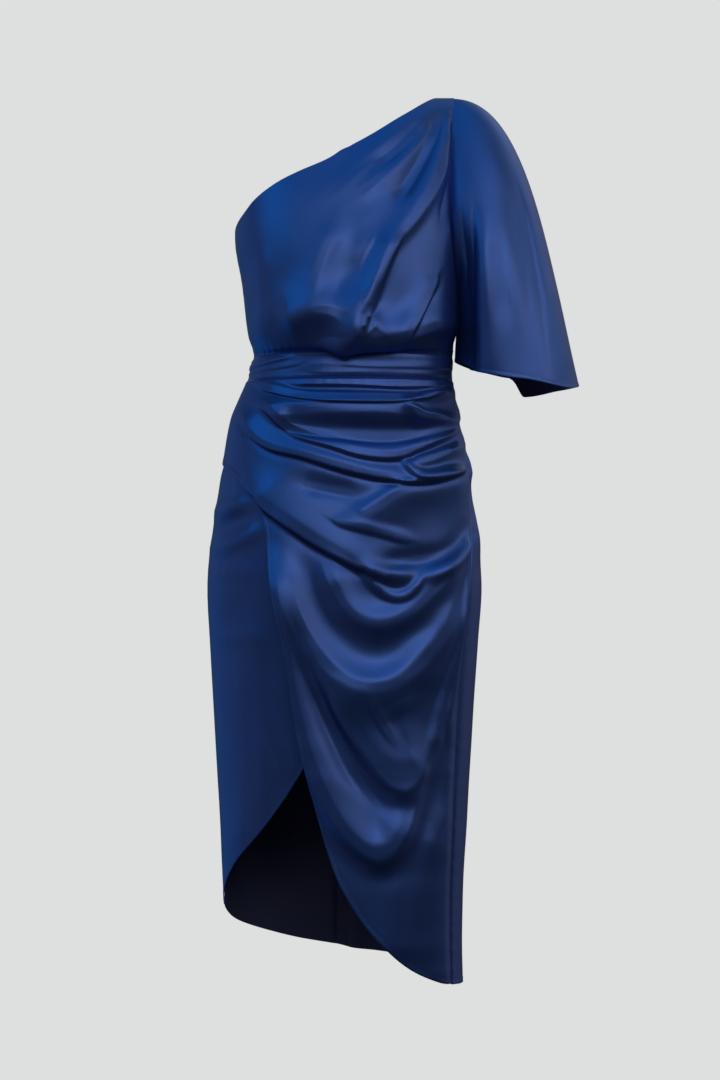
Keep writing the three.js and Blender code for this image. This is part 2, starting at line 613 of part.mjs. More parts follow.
function sleevePoint(anyAngle, w) {
  const angle = THREE.MathUtils.euclideanModulo(anyAngle + 90, 360) - 90;
  const [sine, cosine] = [Math.sin(angle * rad), Math.cos(angle * rad)];
  const power = 2 / sleeveHem.square;
  const start = armholePoint(angle);
  const end = new THREE.Vector3(
    sleeveHem.x + sleeveHem.halfWidth * Math.sign(sine) * Math.abs(sine) ** power,
    -sleeveHem.halfDepth * Math.sign(cosine) * Math.abs(cosine) ** power,
    sleeveHemHeight(angle),
  );
  const leave = new THREE.Vector3(sleeve.outX(angle), sleeve.outY(angle), sleeve.outZ(angle)).add(start);
  const arrive = new THREE.Vector3(sleeve.downX(angle), sleeve.downY(angle), sleeve.downZ(angle));
  arrive.subVectors(end, arrive);
  const k = 1 - w;
  return new THREE.Vector3()
    .addScaledVector(start, k ** 3)
    .addScaledVector(leave, 3 * k * k * w)
    .addScaledVector(arrive, 3 * k * w * w)
    .addScaledVector(end, w ** 3);
}

function sleeveWall() {
  const folds = readyFolds(sleeveFolds);
  const [columns, rows] = [32, 13];
  const grid = Array.from({ length: rows + 1 }, (_, j) => (
    Array.from({ length: columns }, (__, i) => [-90 + i * 360 / columns, j / rows])));
  const height = (p, angle, w) => foldHeight(folds, p.x, p.z)
    * smoothStep(Math.abs(Math.cos(angle * rad)) * 1.6) * smoothStep(w / 0.12);
  return clothWall('sleeve', sleevePoint, grid, [0.4, 0.002], height, true);
}

const dress = new THREE.Group();
dress.add(
  bodiceFront(), bodiceBack(), sleeveWall(), waistband(),
  skirtFrontUnder(), skirtFrontOver(), skirtBack(),
);
dress.position.x = -shoulderOut;

export default dress;
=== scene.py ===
# One-shoulder wrap dress in navy satin: thin cloth shells with their folds, hems and stitches,
# laid over the dress's solids. Lengths are millimetres from the figure's centre line until a mesh is made.
import math

import bpy
import numpy as np
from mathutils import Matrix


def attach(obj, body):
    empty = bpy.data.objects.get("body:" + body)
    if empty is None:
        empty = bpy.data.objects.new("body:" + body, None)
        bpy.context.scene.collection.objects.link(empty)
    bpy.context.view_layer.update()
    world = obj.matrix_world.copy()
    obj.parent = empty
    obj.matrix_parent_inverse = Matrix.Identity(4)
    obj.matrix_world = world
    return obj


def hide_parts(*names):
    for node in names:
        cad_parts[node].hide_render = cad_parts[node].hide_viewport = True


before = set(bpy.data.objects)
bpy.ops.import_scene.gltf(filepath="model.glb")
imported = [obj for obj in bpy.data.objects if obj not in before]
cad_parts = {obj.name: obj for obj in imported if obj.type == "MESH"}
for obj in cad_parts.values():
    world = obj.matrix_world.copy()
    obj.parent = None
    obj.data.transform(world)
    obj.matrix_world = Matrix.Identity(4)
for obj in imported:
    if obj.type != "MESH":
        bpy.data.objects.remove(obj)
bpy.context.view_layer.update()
print("frame loaded")

# What the whole dress shares
dress = {
    "shoulderOut": 137.0,     # centre line of the figure to the middle of the shoulder seam
    "cloth": 0.8,             # thickness of a shell
    "waistTop": -354.0,
    "waistBottom": -384.0,
    "leftSeam": -92.0,        # angles round the figure: 0 front, 90 sleeve side, 180 back
    "underarmSeam": 88.0,
    "underarm": -276.0,
    "seamGap": 0.3,
    "radius": 140.0,          # of the body, where an angle is read as a length of cloth
    "waistRadius": 125.0,
    "wrapLift": 3.4,
    "underDepth": 2.0,
    "foldFade": 34.0,         # each end of a fold
    "foldBlend": 9.0,         # the least width over which the parts of a path are averaged
    "foldDip": 0.3,           # depth of the dip beside a fold, at most this share of its height
    "dipWidth": 2.4,          # times the fold's own width
    "foldStart": 12.0,        # waist seam to full folds
    "shoulderStart": 16.0,    # shoulder seam to full folds
    "puckerStart": 3.0,       # waist seam to full puckers
    "puckerEnd": 4.0,         # full puckers to a side seam
    "hemInset": 5.0,          # free edge to the line of hem stitches
    "hemExtra": 0.35,         # more thickness where the hem is turned up
    "grooveDepth": 0.3,
    "grooveWidth": 1.3,
    "seed": 11,
}

# The form the dress holds. Columns: height, half widths left and right, depths front and back, squareness
sections = np.array([
    (0, 155, 155, 0, 0, 2.8), (-10, 155, 155, 27, 27, 2.8), (-32, 155, 155, 49, 48, 2.8),
    (-62, 153, 155, 67, 65, 2.8), (-102, 150, 155, 84, 79, 2.75), (-150, 148, 154, 101, 90, 2.7),
    (-200, 149, 152, 113, 97, 2.6), (-248, 141, 150, 119, 99, 2.5), (-300, 134, 148, 119, 98, 2.4),
    (-328, 128, 147, 118, 98, 2.3), (-345, 125, 147, 111, 96, 2.25), (-354, 124, 146, 100, 92, 2.2),
    (-384, 132, 146, 100, 93, 2.2), (-411, 144, 150, 104, 98, 2.15), (-438, 155, 155, 107, 105, 2.15),
    (-492, 165, 166, 111, 117, 2.1), (-574, 178, 178, 113, 127, 2.1), (-655, 187, 186, 113, 129, 2.1),
    (-737, 184, 181, 112, 127, 2.1), (-846, 178, 174, 111, 125, 2.1), (-982, 170, 166, 111, 124, 2.1),
    (-1091, 165, 160, 112, 124, 2.1), (-1210, 161, 160, 114, 125, 2.1),
])


def smoothColumn(at, values, startSlope=None):
    # a cubic through the rows: each row's slope is that of the line between its two neighbours
    at = np.asarray(at, float)
    values = np.asarray(values, float)
    rows = np.arange(len(at))
    before = np.maximum(rows - 1, 0)
    after = np.minimum(rows + 1, len(at) - 1)
    slopes = (values[after] - values[before]) / (at[after] - at[before])
    if startSlope is not None:
        slopes[0] = startSlope

    def read(x):
        i = np.clip(np.searchsorted(at, x, side="right") - 1, 0, len(at) - 2)
        span = at[i + 1] - at[i]
        t = np.clip((x - at[i]) / span, 0, 1)
        k = 1 - t
        ends = values[i] * k * k * (1 + 2 * t) + values[i + 1] * t * t * (3 - 2 * t)
        return ends + span * (slopes[i] * t * k * k - slopes[i + 1] * t * t * k)
    return read


def smoothStep(t):
    t = np.clip(t, 0, 1)
    return t * t * (3 - 2 * t)


# the run is the length of cloth from the shoulder seam down the front
runs = np.concatenate([[0], np.cumsum(np.hypot(np.diff(sections[:, 3]), np.diff(sections[:, 0])))])
heightAt, leftAt, rightAt, frontAt, backAt, squareAt = [
    smoothColumn(runs, column, slope) for column, slope in zip(sections.T, (0, 0, 0, None, None, 0))]
fineRuns = np.linspace(0, runs[-1], 8000)
fineHeights = heightAt(fineRuns)


def runAt(z):
    return np.interp(-np.asarray(z, float), -fineHeights, fineRuns)


def signedPower(value, power):
    return np.sign(value) * np.abs(value) ** power


def formPoint(angle, run):
    # a superellipse at each run: width * sin^(2/n), depth * cos^(2/n), mirrored past the shoulder seam
    s = np.abs(run)
    sine = np.sin(np.radians(angle))
    cosine = np.cos(np.radians(angle))
    power = 2 / squareAt(s)
    width = np.where(sine > 0, rightAt(s), leftAt(s))
    depth = np.where(cosine > 0, frontAt(s), backAt(s))
    x = width * signedPower(sine, power)
    y = -depth * signedPower(cosine, power)
    return np.stack([x, np.where(run < 0, -y, y), heightAt(s)], -1)


def angleAt(x, run):
    width = np.where(x > 0, rightAt(run), leftAt(run))
    sine = np.minimum(np.abs(x) / width, 1) ** (squareAt(run) / 2)
    return np.sign(x) * np.degrees(np.arcsin(sine))


def unit(v):
    return v / np.maximum(np.linalg.norm(v, axis=-1, keepdims=True), 1e-9)


def outward(surface, a, b, stepA, stepB):
    # the normal: slope down the cloth crossed with slope around it
    around = surface(a + stepA, b) - surface(a - stepA, b)
    down = surface(a, b + stepB) - surface(a, b - stepB)
    return unit(np.cross(down, around))


# Edges of the pieces, in angle and run

def splinePoints(points, count):
    # uniform Catmull-Rom curve through the points, its ends doubled
    p = np.asarray(points, float)
    p = np.concatenate([p[:1], p, p[-1:]])
    t = np.linspace(0, len(points) - 1, count)
    i = np.minimum(t.astype(int), len(points) - 2)
    k = (t - i)[:, None]
    a, b, c, d = p[i], p[i + 1], p[i + 2], p[i + 3]
    return b + 0.5 * k * (c - a + k * (2 * a - 5 * b + 4 * c - d + k * (3 * (b - c) + d - a)))


def lengthsAlong(points):
    return np.concatenate([[0], np.cumsum(np.linalg.norm(np.diff(points, axis=0), axis=1))])


def readAlong(at, steps, rows):
    # the row of values at each place, between the places in steps
    return np.stack([np.interp(at, steps, column) for column in rows.T], -1)


def smoothEdge(points):
    dense = splinePoints(points, 900)
    steps = lengthsAlong(dense)
    return lambda t: readAlong(t, steps / steps[-1], dense)


def straightEdge(start, end):
    start = np.asarray(start, float)
    end = np.asarray(end, float)
    return lambda t: start + (end - start) * np.asarray(t)[..., None]


def joinedEdge(first, second, share):
    def edge(t):
        t = np.asarray(t)
        early = first(np.clip(t / share, 0, 1))
        late = second(np.clip((t - share) / (1 - share), 0, 1))
        return np.where((t < share)[..., None], early, late)
    return edge


def frontEdge(points):
    return [(float(angleAt(x, runAt(z))), float(runAt(z))) for x, z in points]


def panelMap(top, bottom, left, right):
    # a place between four edges: the two ruled surfaces less the one through the corners
    corners = [top(np.array(0.0)), top(np.array(1.0)), bottom(np.array(0.0)), bottom(np.array(1.0))]

    def place(u, v):
        uu, vv = u[..., None], v[..., None]
        ruled = (1 - vv) * top(u) + vv * bottom(u) + (1 - uu) * left(v) + uu * right(v)
        upper = (1 - uu) * corners[0] + uu * corners[1]
        lower = (1 - uu) * corners[2] + uu * corners[3]
        return ruled - (1 - vv) * upper - vv * lower
    return place


# Folds

def fold(rise, over, under, *path, **more):
    # a row of a fold table: its height, its widths to the left and right of its path, and the path's
    # points as x and z on the front or back, and where they differ from the dress's, its fade and dip
    return {"rise": rise, "over": over, "under": under, "path": path, **more}


def foldHeight(folds, x, z):
    # Each fold is a ridge along its path. Across it the height falls as a bell curve, over wide on the
    # left of the path and under wide on its right, and a shallow dip follows the right side. How far
    # along the path a place is comes from all parts of the path, the near ones counting most, and where
    # the path crowds round a place it counts as nearer, so that nothing breaks inside a bend. Past the
    # ends of the path the two widths blend.
    total = np.zeros_like(x)
    for row in folds:
        path = splinePoints(row["path"], 10 * (len(row["path"]) - 1) + 1)
        widest = max(row["over"], row["under"])
        reach = 3.2 * widest + 4     # the height is worked out only this far from the path
        near = (x > path[:, 0].min() - reach) & (x < path[:, 0].max() + reach)
        near &= (z > path[:, 1].min() - reach) & (z < path[:, 1].max() + reach)
        gridX, gridZ = x[near], z[near]
        moves = np.diff(path, axis=0)
        steps = np.linalg.norm(moves, axis=1)
        starts = np.concatenate([[0], np.cumsum(steps)[:-1]])
        aways, alongs, sides = [], [], []
        for start, move, step, passed in zip(path[:-1], moves, steps, starts):
            gapX, gapZ = gridX - start[0], gridZ - start[1]
            t = np.clip((gapX * move[0] + gapZ * move[1]) / step ** 2, 0, 1)
            aways.append(np.hypot(gapX - t * move[0], gapZ - t * move[1]))
            alongs.append(passed + t * step)
            sides.append((move[0] * gapZ - move[1] * gapX) / step)
        aways, alongs, sides = np.array(aways), np.array(alongs), np.array(sides)
        nearest = aways.min(0)
        blend = max(dress["foldBlend"], 0.5 * widest)
        counts = steps[:, None] * np.exp(-(aways ** 2 - nearest ** 2) / (2 * blend ** 2))
        along = (counts * alongs).sum(0) / counts.sum(0)
        crowd = np.clip(counts.sum(0) / (math.sqrt(2 * math.pi) * blend), 1, 3)
        soft = np.sqrt(np.maximum(nearest ** 2 - 2 * blend ** 2 * np.log(crowd), 0))
        side = np.take_along_axis(sides, aways.argmin(0)[None], 0)[0]
        fade = row.get("fade", dress["foldFade"])
        ends = smoothStep(along / fade) * smoothStep((steps.sum() - along) / fade)
        over = np.exp(-(soft / row["over"]) ** 2)
        dip = row.get("dip", dress["foldDip"])
        under = (1 + dip) * np.exp(-(soft / row["under"]) ** 2)
        under -= dip * np.exp(-(soft / (dress["dipWidth"] * row["under"])) ** 2)
        overShare = smoothStep(0.5 + 0.5 * side / np.maximum(nearest, 0.5))
        total[near] += row["rise"] * ends * (under + (over - under) * overShare)
    return total


def ripple(x, z, size, creaseAngle, spread, seed, waves=9):
    # uneven cloth: sine waves of about one size, whose crests lie within spread of one direction
    draw = np.random.default_rng(seed)
    total = np.zeros_like(x)
    for _ in range(waves):
        turn = math.radians(creaseAngle + 90 + draw.uniform(-spread, spread))
        wave = size * draw.uniform(0.6, 1.7)
        shift = draw.uniform(0, 2 * math.pi)
        total += np.sin(2 * math.pi * (x * math.cos(turn) + z * math.sin(turn)) / wave + shift)
    return total / waves


# Turning a grid of points into a cloth shell

def ring(grid, tube):
    # the places just outside the border of a panel, or of each open end of a tube, and the border itself
    if tube:
        return [(grid[0], grid[0] - grid[1]), (grid[-1], grid[-1] - grid[-2])]
    top = (grid[0], grid[0] - grid[1])
    right = (grid[1:-1, -1], grid[1:-1, -1] - grid[1:-1, -2])
    bottom = (grid[-1, ::-1], grid[-1, ::-1] - grid[-2, ::-1])
    left = (grid[-2:0:-1, 0], grid[-2:0:-1, 0] - grid[-2:0:-1, 1])
    sides = (top, right, bottom, left)
    return [(np.concatenate([s[0] for s in sides]), np.concatenate([s[1] for s in sides]))]


def gridFaces(index, tube):
    # quads between neighbouring rows and columns, facing outwards
    if tube:
        index = np.concatenate([index, index[:, :1]], 1)
    a, b = index[:-1, :-1], index[1:, :-1]
    c, d = index[1:, 1:], index[:-1, 1:]
    return np.stack([a, b, c, d], -1).reshape(-1, 4)


def loopFaces(first, second):
    # quads between two closed rings of points
    nextFirst = np.roll(first, -1)
    nextSecond = np.roll(second, -1)
    return np.stack([first, nextFirst, nextSecond, second], -1)


def addObject(name, data):
    piece = bpy.data.objects.new(name, data)
    bpy.context.scene.collection.objects.link(piece)
    return piece


def makeMesh(name, points, faces, slots, materials, uv=None):
    mesh = bpy.data.meshes.new(name)
    mesh.vertices.add(len(points))
    mesh.vertices.foreach_set("co", toScene(points).astype(np.float32).ravel())
    mesh.loops.add(faces.size)
    mesh.loops.foreach_set("vertex_index", faces.astype(np.int32).ravel())
    mesh.polygons.add(len(faces))
    sides = faces.shape[1]
    mesh.polygons.foreach_set("loop_start", np.arange(0, faces.size, sides, dtype=np.int32))
    mesh.polygons.foreach_set("material_index", slots.astype(np.int32))
    mesh.update(calc_edges=True)
    mesh.polygons.foreach_set("use_smooth", np.ones(len(faces), bool))
    for material in materials:
        mesh.materials.append(material)
    if uv is not None:
        layer = mesh.uv_layers.new(name="cloth")
        layer.data.foreach_set("uv", uv[faces.ravel()].astype(np.float32).ravel())
    mesh.validate()
    return addObject(name, mesh)


def toScene(points):
    # from millimetres at the centre line to metres at the shoulder
    return (points - np.array([dress["shoulderOut"], 0, 0])) / 1000


def clothShell(name, outer, normals, materials, tube):
    # outer face, a face one thickness in, and a rounded rim that joins them
    rows, columns = outer.shape[:2]
    half = dress["cloth"] / 2
    inner = outer - normals * dress["cloth"]
    middle = outer - normals * half
    count = rows * columns
    outerIndex = np.arange(count).reshape(rows, columns)
    innerIndex = outerIndex + count
    faces = [gridFaces(outerIndex, tube), gridFaces(innerIndex, tube)[:, ::-1]]
    quads = len(faces[0])
    points = [outer.reshape(-1, 3), inner.reshape(-1, 3)]
    rims = ring(middle, tube)
    outerRims = ring(outerIndex[..., None], tube)
    used = 2 * count
    for side, ((place, away), (index, _)) in enumerate(zip(rims, outerRims)):
        rimIndex = np.arange(len(place)) + used
        used += len(place)
        points.append(place + unit(away) * half)
        border = index[:, 0]
        loops = [loopFaces(border, rimIndex), loopFaces(rimIndex, border + count)]
        if side == 1:
            loops = [loop[:, ::-1] for loop in loops]     # the lower end of a tube runs the other way
        faces += loops
    faces = np.concatenate(faces)
    points = np.concatenate(points)
    slots = np.zeros(len(faces))
    slots[quads:2 * quads] = 1
    across = np.linalg.norm(np.diff(outer, axis=1), axis=-1)
    down = np.linalg.norm(np.diff(outer, axis=0), axis=-1)
    u = np.concatenate([np.zeros((rows, 1)), np.cumsum(across, 1)], 1) / 1000
    v = -np.concatenate([np.zeros((1, columns)), np.cumsum(down, 0)], 0) / 1000
    uvGrid = np.stack([u, v], -1).reshape(-1, 2)
    rimUv = np.concatenate([r[0] for r in ring(uvGrid.reshape(rows, columns, 2), tube)])
    uv = np.concatenate([uvGrid, uvGrid, rimUv])
    area = (across[:-1] * down[:, :-1]).sum() / 1e6
    print(name, "faces", len(faces), "cloth area m2", round(float(area), 3))
    return makeMesh(name, points, faces, slots, materials, uv)


def gatherEnds(t, amount):
    # grid lines closer together at both ends, where seams and hems are
    return t - amount * np.sin(2 * math.pi * t) / (2 * math.pi)


def panelPlaces(place, columns, rows, crowd=0.5):
    u, v = np.meshgrid(gatherEnds(np.linspace(0, 1, columns + 1), crowd),
                       gatherEnds(np.linspace(0, 1, rows + 1), crowd))
    return place(u, v)


def tubePlaces(first, columns, down):
    angle, along = np.meshgrid(first + np.arange(columns) * 360 / columns, down)
    return np.stack([angle, along], -1)


def arc(degreesAway):
    # length of cloth between two angles, near enough for small seams
    return np.radians(degreesAway) * dress["radius"]


def beside(degreesAway, width=20.0):
    # how flat the folds lie beside a seam: 0 at the seam
    return smoothStep(arc(degreesAway) / width)


def pull(degreesAway, width=3.2, depth=1.1):
    # the cloth dips where it is sewn in
    return -depth * np.exp(-(arc(degreesAway) / width) ** 2)


def edgeDistance(points, edge, reach=45.0):
    # distance of each point of a grid to a free edge, up to reach
    flat = points.reshape(-1, 3).astype(np.float32)
    edge = edge.astype(np.float32)
    nearest = np.full(len(flat), reach, np.float32)
    low, high = edge.min(0) - reach, edge.max(0) + reach
    for chunk in np.array_split(np.flatnonzero(((flat > low) & (flat < high)).all(1)), 40):
        gaps = flat[chunk][:, None] - edge[None]
        nearest[chunk] = np.minimum(np.sqrt((gaps ** 2).sum(-1).min(1)), reach)
    return nearest.reshape(points.shape[:-1]).astype(float)


def coverForm(surface, places, steps, height, hemmed, tube):
    # Outer points and outward directions of a piece. At a hem, the grid's last row, the cloth is turned
    # up: a little thicker up to the stitches, which pull a fine groove.
    a, b = places[..., 0], places[..., 1]
    base = surface(a, b)
    normal = outward(surface, a, b, *steps)
    outer = base + normal * height(base, a, b)[..., None]
    hemGap = None
    if hemmed:
        hemGap = edgeDistance(outer, outer[-1])
        turned = dress["hemExtra"] * smoothStep((dress["hemInset"] + 1 - hemGap) / 1.2)
        groove = -dress["grooveDepth"] * np.exp(-((hemGap - dress["hemInset"]) / dress["grooveWidth"]) ** 2)
        outer = outer + normal * (turned + groove)[..., None]
    slopeDown = np.gradient(outer, axis=0)
    slopeRound = np.gradient(outer, axis=1)
    if tube:
        slopeRound = np.roll(outer, -1, 1) - np.roll(outer, 1, 1)
    facing = unit(np.cross(slopeDown, slopeRound))
    return outer, facing, hemGap


# Seams that several pieces share

bandTopRun = float(runAt(dress["waistTop"]))
bandBottomRun = float(runAt(dress["waistBottom"]))
halfGap = dress["seamGap"] / 2
angleGap = math.degrees(halfGap / dress["waistRadius"])
formSteps = (0.15, 0.2)
seams = {
    "neck": [(-138, -168), (-120, -148), (-91, -127), (-28, -97), (18, -70), (67, -38), (102, -14)],
    "neckStart": -190,
    "shoulderNeck": 49,
    "armhole": [(70, 0), (65, -55), (63, -125), (68, -195), (78, -250)],
    "right": [(-384, 84), (-465, 80), (-574, 72), (-680, 63), (-820, 60), (-1010, 61), (-1196, 63)],
    "wrap": [(-165, -492), (-148, -512), (-131, -534), (-110, -562), (-97, -627), (-78, -733), (-55, -884),
             (-19, -1022), (14, -1090), (51, -1138), (86, -1169), (122, -1189), (144, -1195)],
    "under": [(-165, -1097), (-150, -1036), (-109, -985), (-55, -904), (1, -799), (66, -680), (120, -606),
              (165, -560)],
    "backHem": [(63, -1196), (88, -1200), (112, -1195), (160, -1180), (176, -1176), (184, -1170),
                (205, -1158), (235, -1134), (252, -1118), (268, -1097)],
}
seamAngle = smoothColumn(runAt([z for z, _ in seams["right"]]), [a for _, a in seams["right"]])
armholeHeights = [z for _, z in seams["armhole"]] + [dress["underarm"], dress["waistTop"]]
armholeRuns = [float(runAt(z)) for z in armholeHeights]
sideAngle = smoothColumn(armholeRuns, [a for a, _ in seams["armhole"]] + [dress["underarmSeam"]] * 2)


def armholeEdge(underarmAngle):
    points = [(a, float(runAt(z))) for a, z in seams["armhole"]]
    return smoothEdge(points + [(underarmAngle, float(runAt(dress["underarm"])))])


def bodiceMap(leftAngle, rightAngle):
    edge = armholeEdge(rightAngle)

    def armholeSide(t):
        place = edge(t)
        return np.stack([place[..., 0] - angleGap, np.maximum(place[..., 1], halfGap)], -1)
    topLeft = (leftAngle + angleGap, float(runAt(seams["neckStart"])))
    bottomLeft = (leftAngle + angleGap, bandTopRun - halfGap)
    bottomRight = (rightAngle - angleGap, bandTopRun - halfGap)
    neckEnd = (seams["shoulderNeck"], halfGap)
    neck = smoothEdge([topLeft] + frontEdge(seams["neck"]) + [neckEnd])
    return panelMap(
        top=joinedEdge(neck, straightEdge(neckEnd, armholeSide(np.array(0.0))), 0.74),
        bottom=straightEdge(bottomLeft, bottomRight),
        left=straightEdge(topLeft, bottomLeft),
        right=joinedEdge(armholeSide, straightEdge(armholeSide(np.array(1.0)), bottomRight), 0.78),
    )


def rightSeamEdge(bottomZ, aside):
    top, bottom = bandBottomRun + halfGap, float(runAt(bottomZ))

    def edge(t):
        run = top + (bottom - top) * np.asarray(t)
        return np.stack([seamAngle(run) + aside, run], -1)
    return edge


def skirtFrontMap(edge, lean):
    # lean moves the columns to the right at the waist, so that they stay inside an edge that turns
    right = rightSeamEdge(edge[-1][1], -1.6 * angleGap)
    topLeft = (dress["leftSeam"] + angleGap, bandBottomRun + halfGap)
    bottomLeft = (dress["leftSeam"] + angleGap, float(runAt(edge[0][1])))
    waist = straightEdge(topLeft, right(0.0))
    hem = smoothEdge([bottomLeft] + frontEdge(edge[1:-1]) + [tuple(right(1.0))])
    return panelMap(
        top=lambda t: waist(t ** (1 - lean)),
        bottom=lambda t: hem(t ** (1 + lean)),
        left=straightEdge(topLeft, bottomLeft),
        right=right,
    )


def makePiece(settings, places, height, materials, surface=formPoint, steps=formSteps, hemmed=False,
              tube=False):
    # each cloth piece stands for its solid and rides on the dress's one body
    outer, facing, hemGap = coverForm(surface, places, steps, height, hemmed, tube)
    piece = clothShell(settings["name"], outer, facing, materials, tube)
    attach(piece, "root")
    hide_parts(settings["node"])
    return outer, facing, hemGap


def ripples(settings, p):
    form = (*settings["rippleForm"], dress["seed"] + settings["seedStep"])
    return settings["ripple"] * ripple(p[..., 0], p[..., 2], *form)


def creases(settings, p):
    return foldHeight(settings["folds"], p[..., 0], p[..., 2]) + ripples(settings, p)


def gathers(along, away, size, reach, seed):
    # small puckers at a seam: uneven waves along it that die out away from it
    draw = np.random.default_rng(dress["seed"] + seed)
    total = np.zeros_like(along)
    for _ in range(5):
        wave = size * draw.uniform(0.6, 2.0)
        total += np.sin(2 * math.pi * along / wave + draw.uniform(0, 2 * math.pi))
    return total / 5 * np.exp(-np.abs(away / reach) ** 1.4)


def puckers(settings, angle, run, fromWaist, left, right):
    # Gathers at the waist and at both side seams, which end just before the next piece. Each row of
    # puckers gives their height, wave, reach and seed.
    total = 0
    places = {"waist": (arc(angle), fromWaist), "left": (run, arc(left)), "right": (run, arc(right))}
    for seam, (high, *form) in settings["puckers"].items():
        total = total + high * gathers(*places[seam], *form)
    total *= smoothStep(fromWaist / dress["puckerStart"])
    return total * beside(left, dress["puckerEnd"]) * beside(right, dress["puckerEnd"])


def softFloor(height, lowest, softness):
    # height, bent smoothly so that it never sinks below lowest
    return lowest + softness * np.logaddexp(0, (height - lowest) / softness)


def belowArm(run, length=20.0):
    # 0 along the armhole, where the cloth runs smoothly into the sleeve, and 1 below it
    return smoothStep((run - float(runAt(dress["underarm"]))) / length)


# Bodice

bodiceFront = {
    "name": "bodice_front_satin", "node": "bodice_front", "held": "gathered",
    "grid": (236, 190),
    "flat": (0.47, 0.40), "area": 0.125,
    "ripple": 0.45, "rippleForm": (50, 62, 18), "seedStep": 1,
    "puckers": {"waist": (1.0, 8, 16, 21), "left": (0.6, 11, 9, 22), "right": (0.6, 12, 9, 23)},
    "folds": [
        # folds that fan out from the shoulder
        fold(3, 18, 16, (-44, -166), (-10, -134), (24, -104), (66, -68), (112, -28), fade=90),
        fold(4.2, 16, 15, (0, -154), (34, -133), (62, -106), (88, -78), (106, -48), (122, -18), fade=60),
        fold(-5, 11, 11, (30, -112), (62, -88), (90, -60), (112, -30)),
        fold(-6.5, 12, 11, (64, -160), (88, -122), (108, -84), (124, -44), (132, -16)),
        fold(6.5, 20, 12, (10, -314), (27, -282), (47, -244), (66, -206), (90, -176), (112, -140),
             (128, -96), (140, -30)),
        fold(-3.4, 8, 8, (128, -196), (136, -150), (144, -104), (152, -50)),
        fold(6, 26, 12, (140, -345), (146, -240), (150, -160), (156, -90)),
        # gathers that rise from the waist
        fold(7.5, 18, 4, (0, -353), (14, -331), (30, -303), (44, -262), (60, -222), (76, -190), dip=0.5),
        fold(2.2, 14, 3.4, (-2, -296), (8, -262), (24, -222), (44, -186)),
        fold(1.8, 3.4, 10, (26, -306), (38, -270), (52, -232)),
        fold(6, 17, 4, (64, -356), (78, -332), (92, -306), (114, -262), (124, -240), dip=0.5),
        fold(3.4, 20, 16, (-50, -290), (-38, -252), (-22, -212), (0, -178)),
        fold(-3.2, 12, 12, (-12, -306), (2, -262), (24, -218)),
        fold(2, 13, 13, (-104, -330), (-104, -266), (-112, -205)),
        # the blouse's overhang, its pouch on the left and the small folds that cross beside it
        fold(6.5, 26, 14, (-140, -324), (-118, -326), (-94, -330)),
        fold(14, 30, 22, (-64, -306), (-50, -301), (-28, -298), (-8, -300), (4, -310), (7, -328),
             (-2, -348), fade=11, dip=0.1),
        fold(8, 26, 19, (14, -340), (53, -337), (86, -328), (116, -316), (146, -302)),
        fold(1.4, 9, 5, (14, -338), (34, -320), (52, -300), fade=18),
        fold(1.2, 8, 5, (30, -300), (42, -318), (58, -334), fade=16),
    ],
}


def bodiceHeight(settings, p, angle, run, left, right):
    toWaist = bandTopRun - run
    folds = creases(settings, p) * beside(left) * beside(right) * smoothStep(toWaist / dress["foldStart"])
    sewn = puckers(settings, angle, run, toWaist, left, right)
    folds = folds * smoothStep(run / dress["shoulderStart"]) + sewn
    return folds + pull(left) + pull(right) * belowArm(run)


def makeBodiceFront(materials):
    settings = bodiceFront
    places = panelPlaces(bodiceMap(dress["leftSeam"], dress["underarmSeam"]), *settings["grid"])

    def height(p, angle, run):
        return bodiceHeight(settings, p, angle, run, angle - dress["leftSeam"], sideAngle(run) - angle)
    return makePiece(settings, places, height, materials)


bodiceBack = {
    "name": "bodice_back_satin", "node": "bodice_back", "held": "gathered",
    "grid": (170, 150),
    "flat": (0.46, 0.38), "area": 0.115,
    "ripple": 0.9, "rippleForm": (46, 65, 35), "seedStep": 2,
    "puckers": {"waist": (1.0, 8, 16, 24), "left": (0.6, 11, 9, 25), "right": (0.6, 12, 9, 26)},
    "folds": [
        fold(5, 20, 13, (38, -192), (84, -122), (128, -28)),
        fold(4, 17, 14, (-72, -141), (20, -98), (112, -26)),
        fold(5.5, 22, 8, (-8, -351), (30, -270), (72, -188)),
        fold(4.5, 18, 7, (70, -351), (92, -290), (112, -228)),
        fold(4.5, 18, 9, (-76, -351), (-62, -290), (-30, -238)),
        fold(5, 26, 18, (-118, -326), (-40, -334), (50, -332), (140, -324)),
        fold(2.6, 13, 5, (-40, -350), (-20, -300), (18, -232)),
        fold(2.4, 12, 5, (36, -350), (58, -304), (84, -250)),
        fold(-3, 12, 12, (10, -210), (60, -152), (110, -70)),
        fold(-2.4, 10, 10, (-96, -316), (-88, -262), (-92, -206)),
    ],
}


def makeBodiceBack(materials):
    settings = bodiceBack
    panel = bodiceMap(-180 - dress["leftSeam"], 180 - dress["underarmSeam"])

    def turned(u, v):
        # the front's edges, turned over from front to back
        place = panel(1 - u, v)
        return np.stack([180 - place[..., 0], place[..., 1]], -1)
    places = panelPlaces(turned, *settings["grid"])

    def height(p, angle, run):
        right = angle - np.maximum(180 - sideAngle(run), dress["underarmSeam"])
        return bodiceHeight(settings, p, angle, run, 360 + dress["leftSeam"] - angle, right)
    return makePiece(settings, places, height, materials)


# Waistband, pleated lengthwise

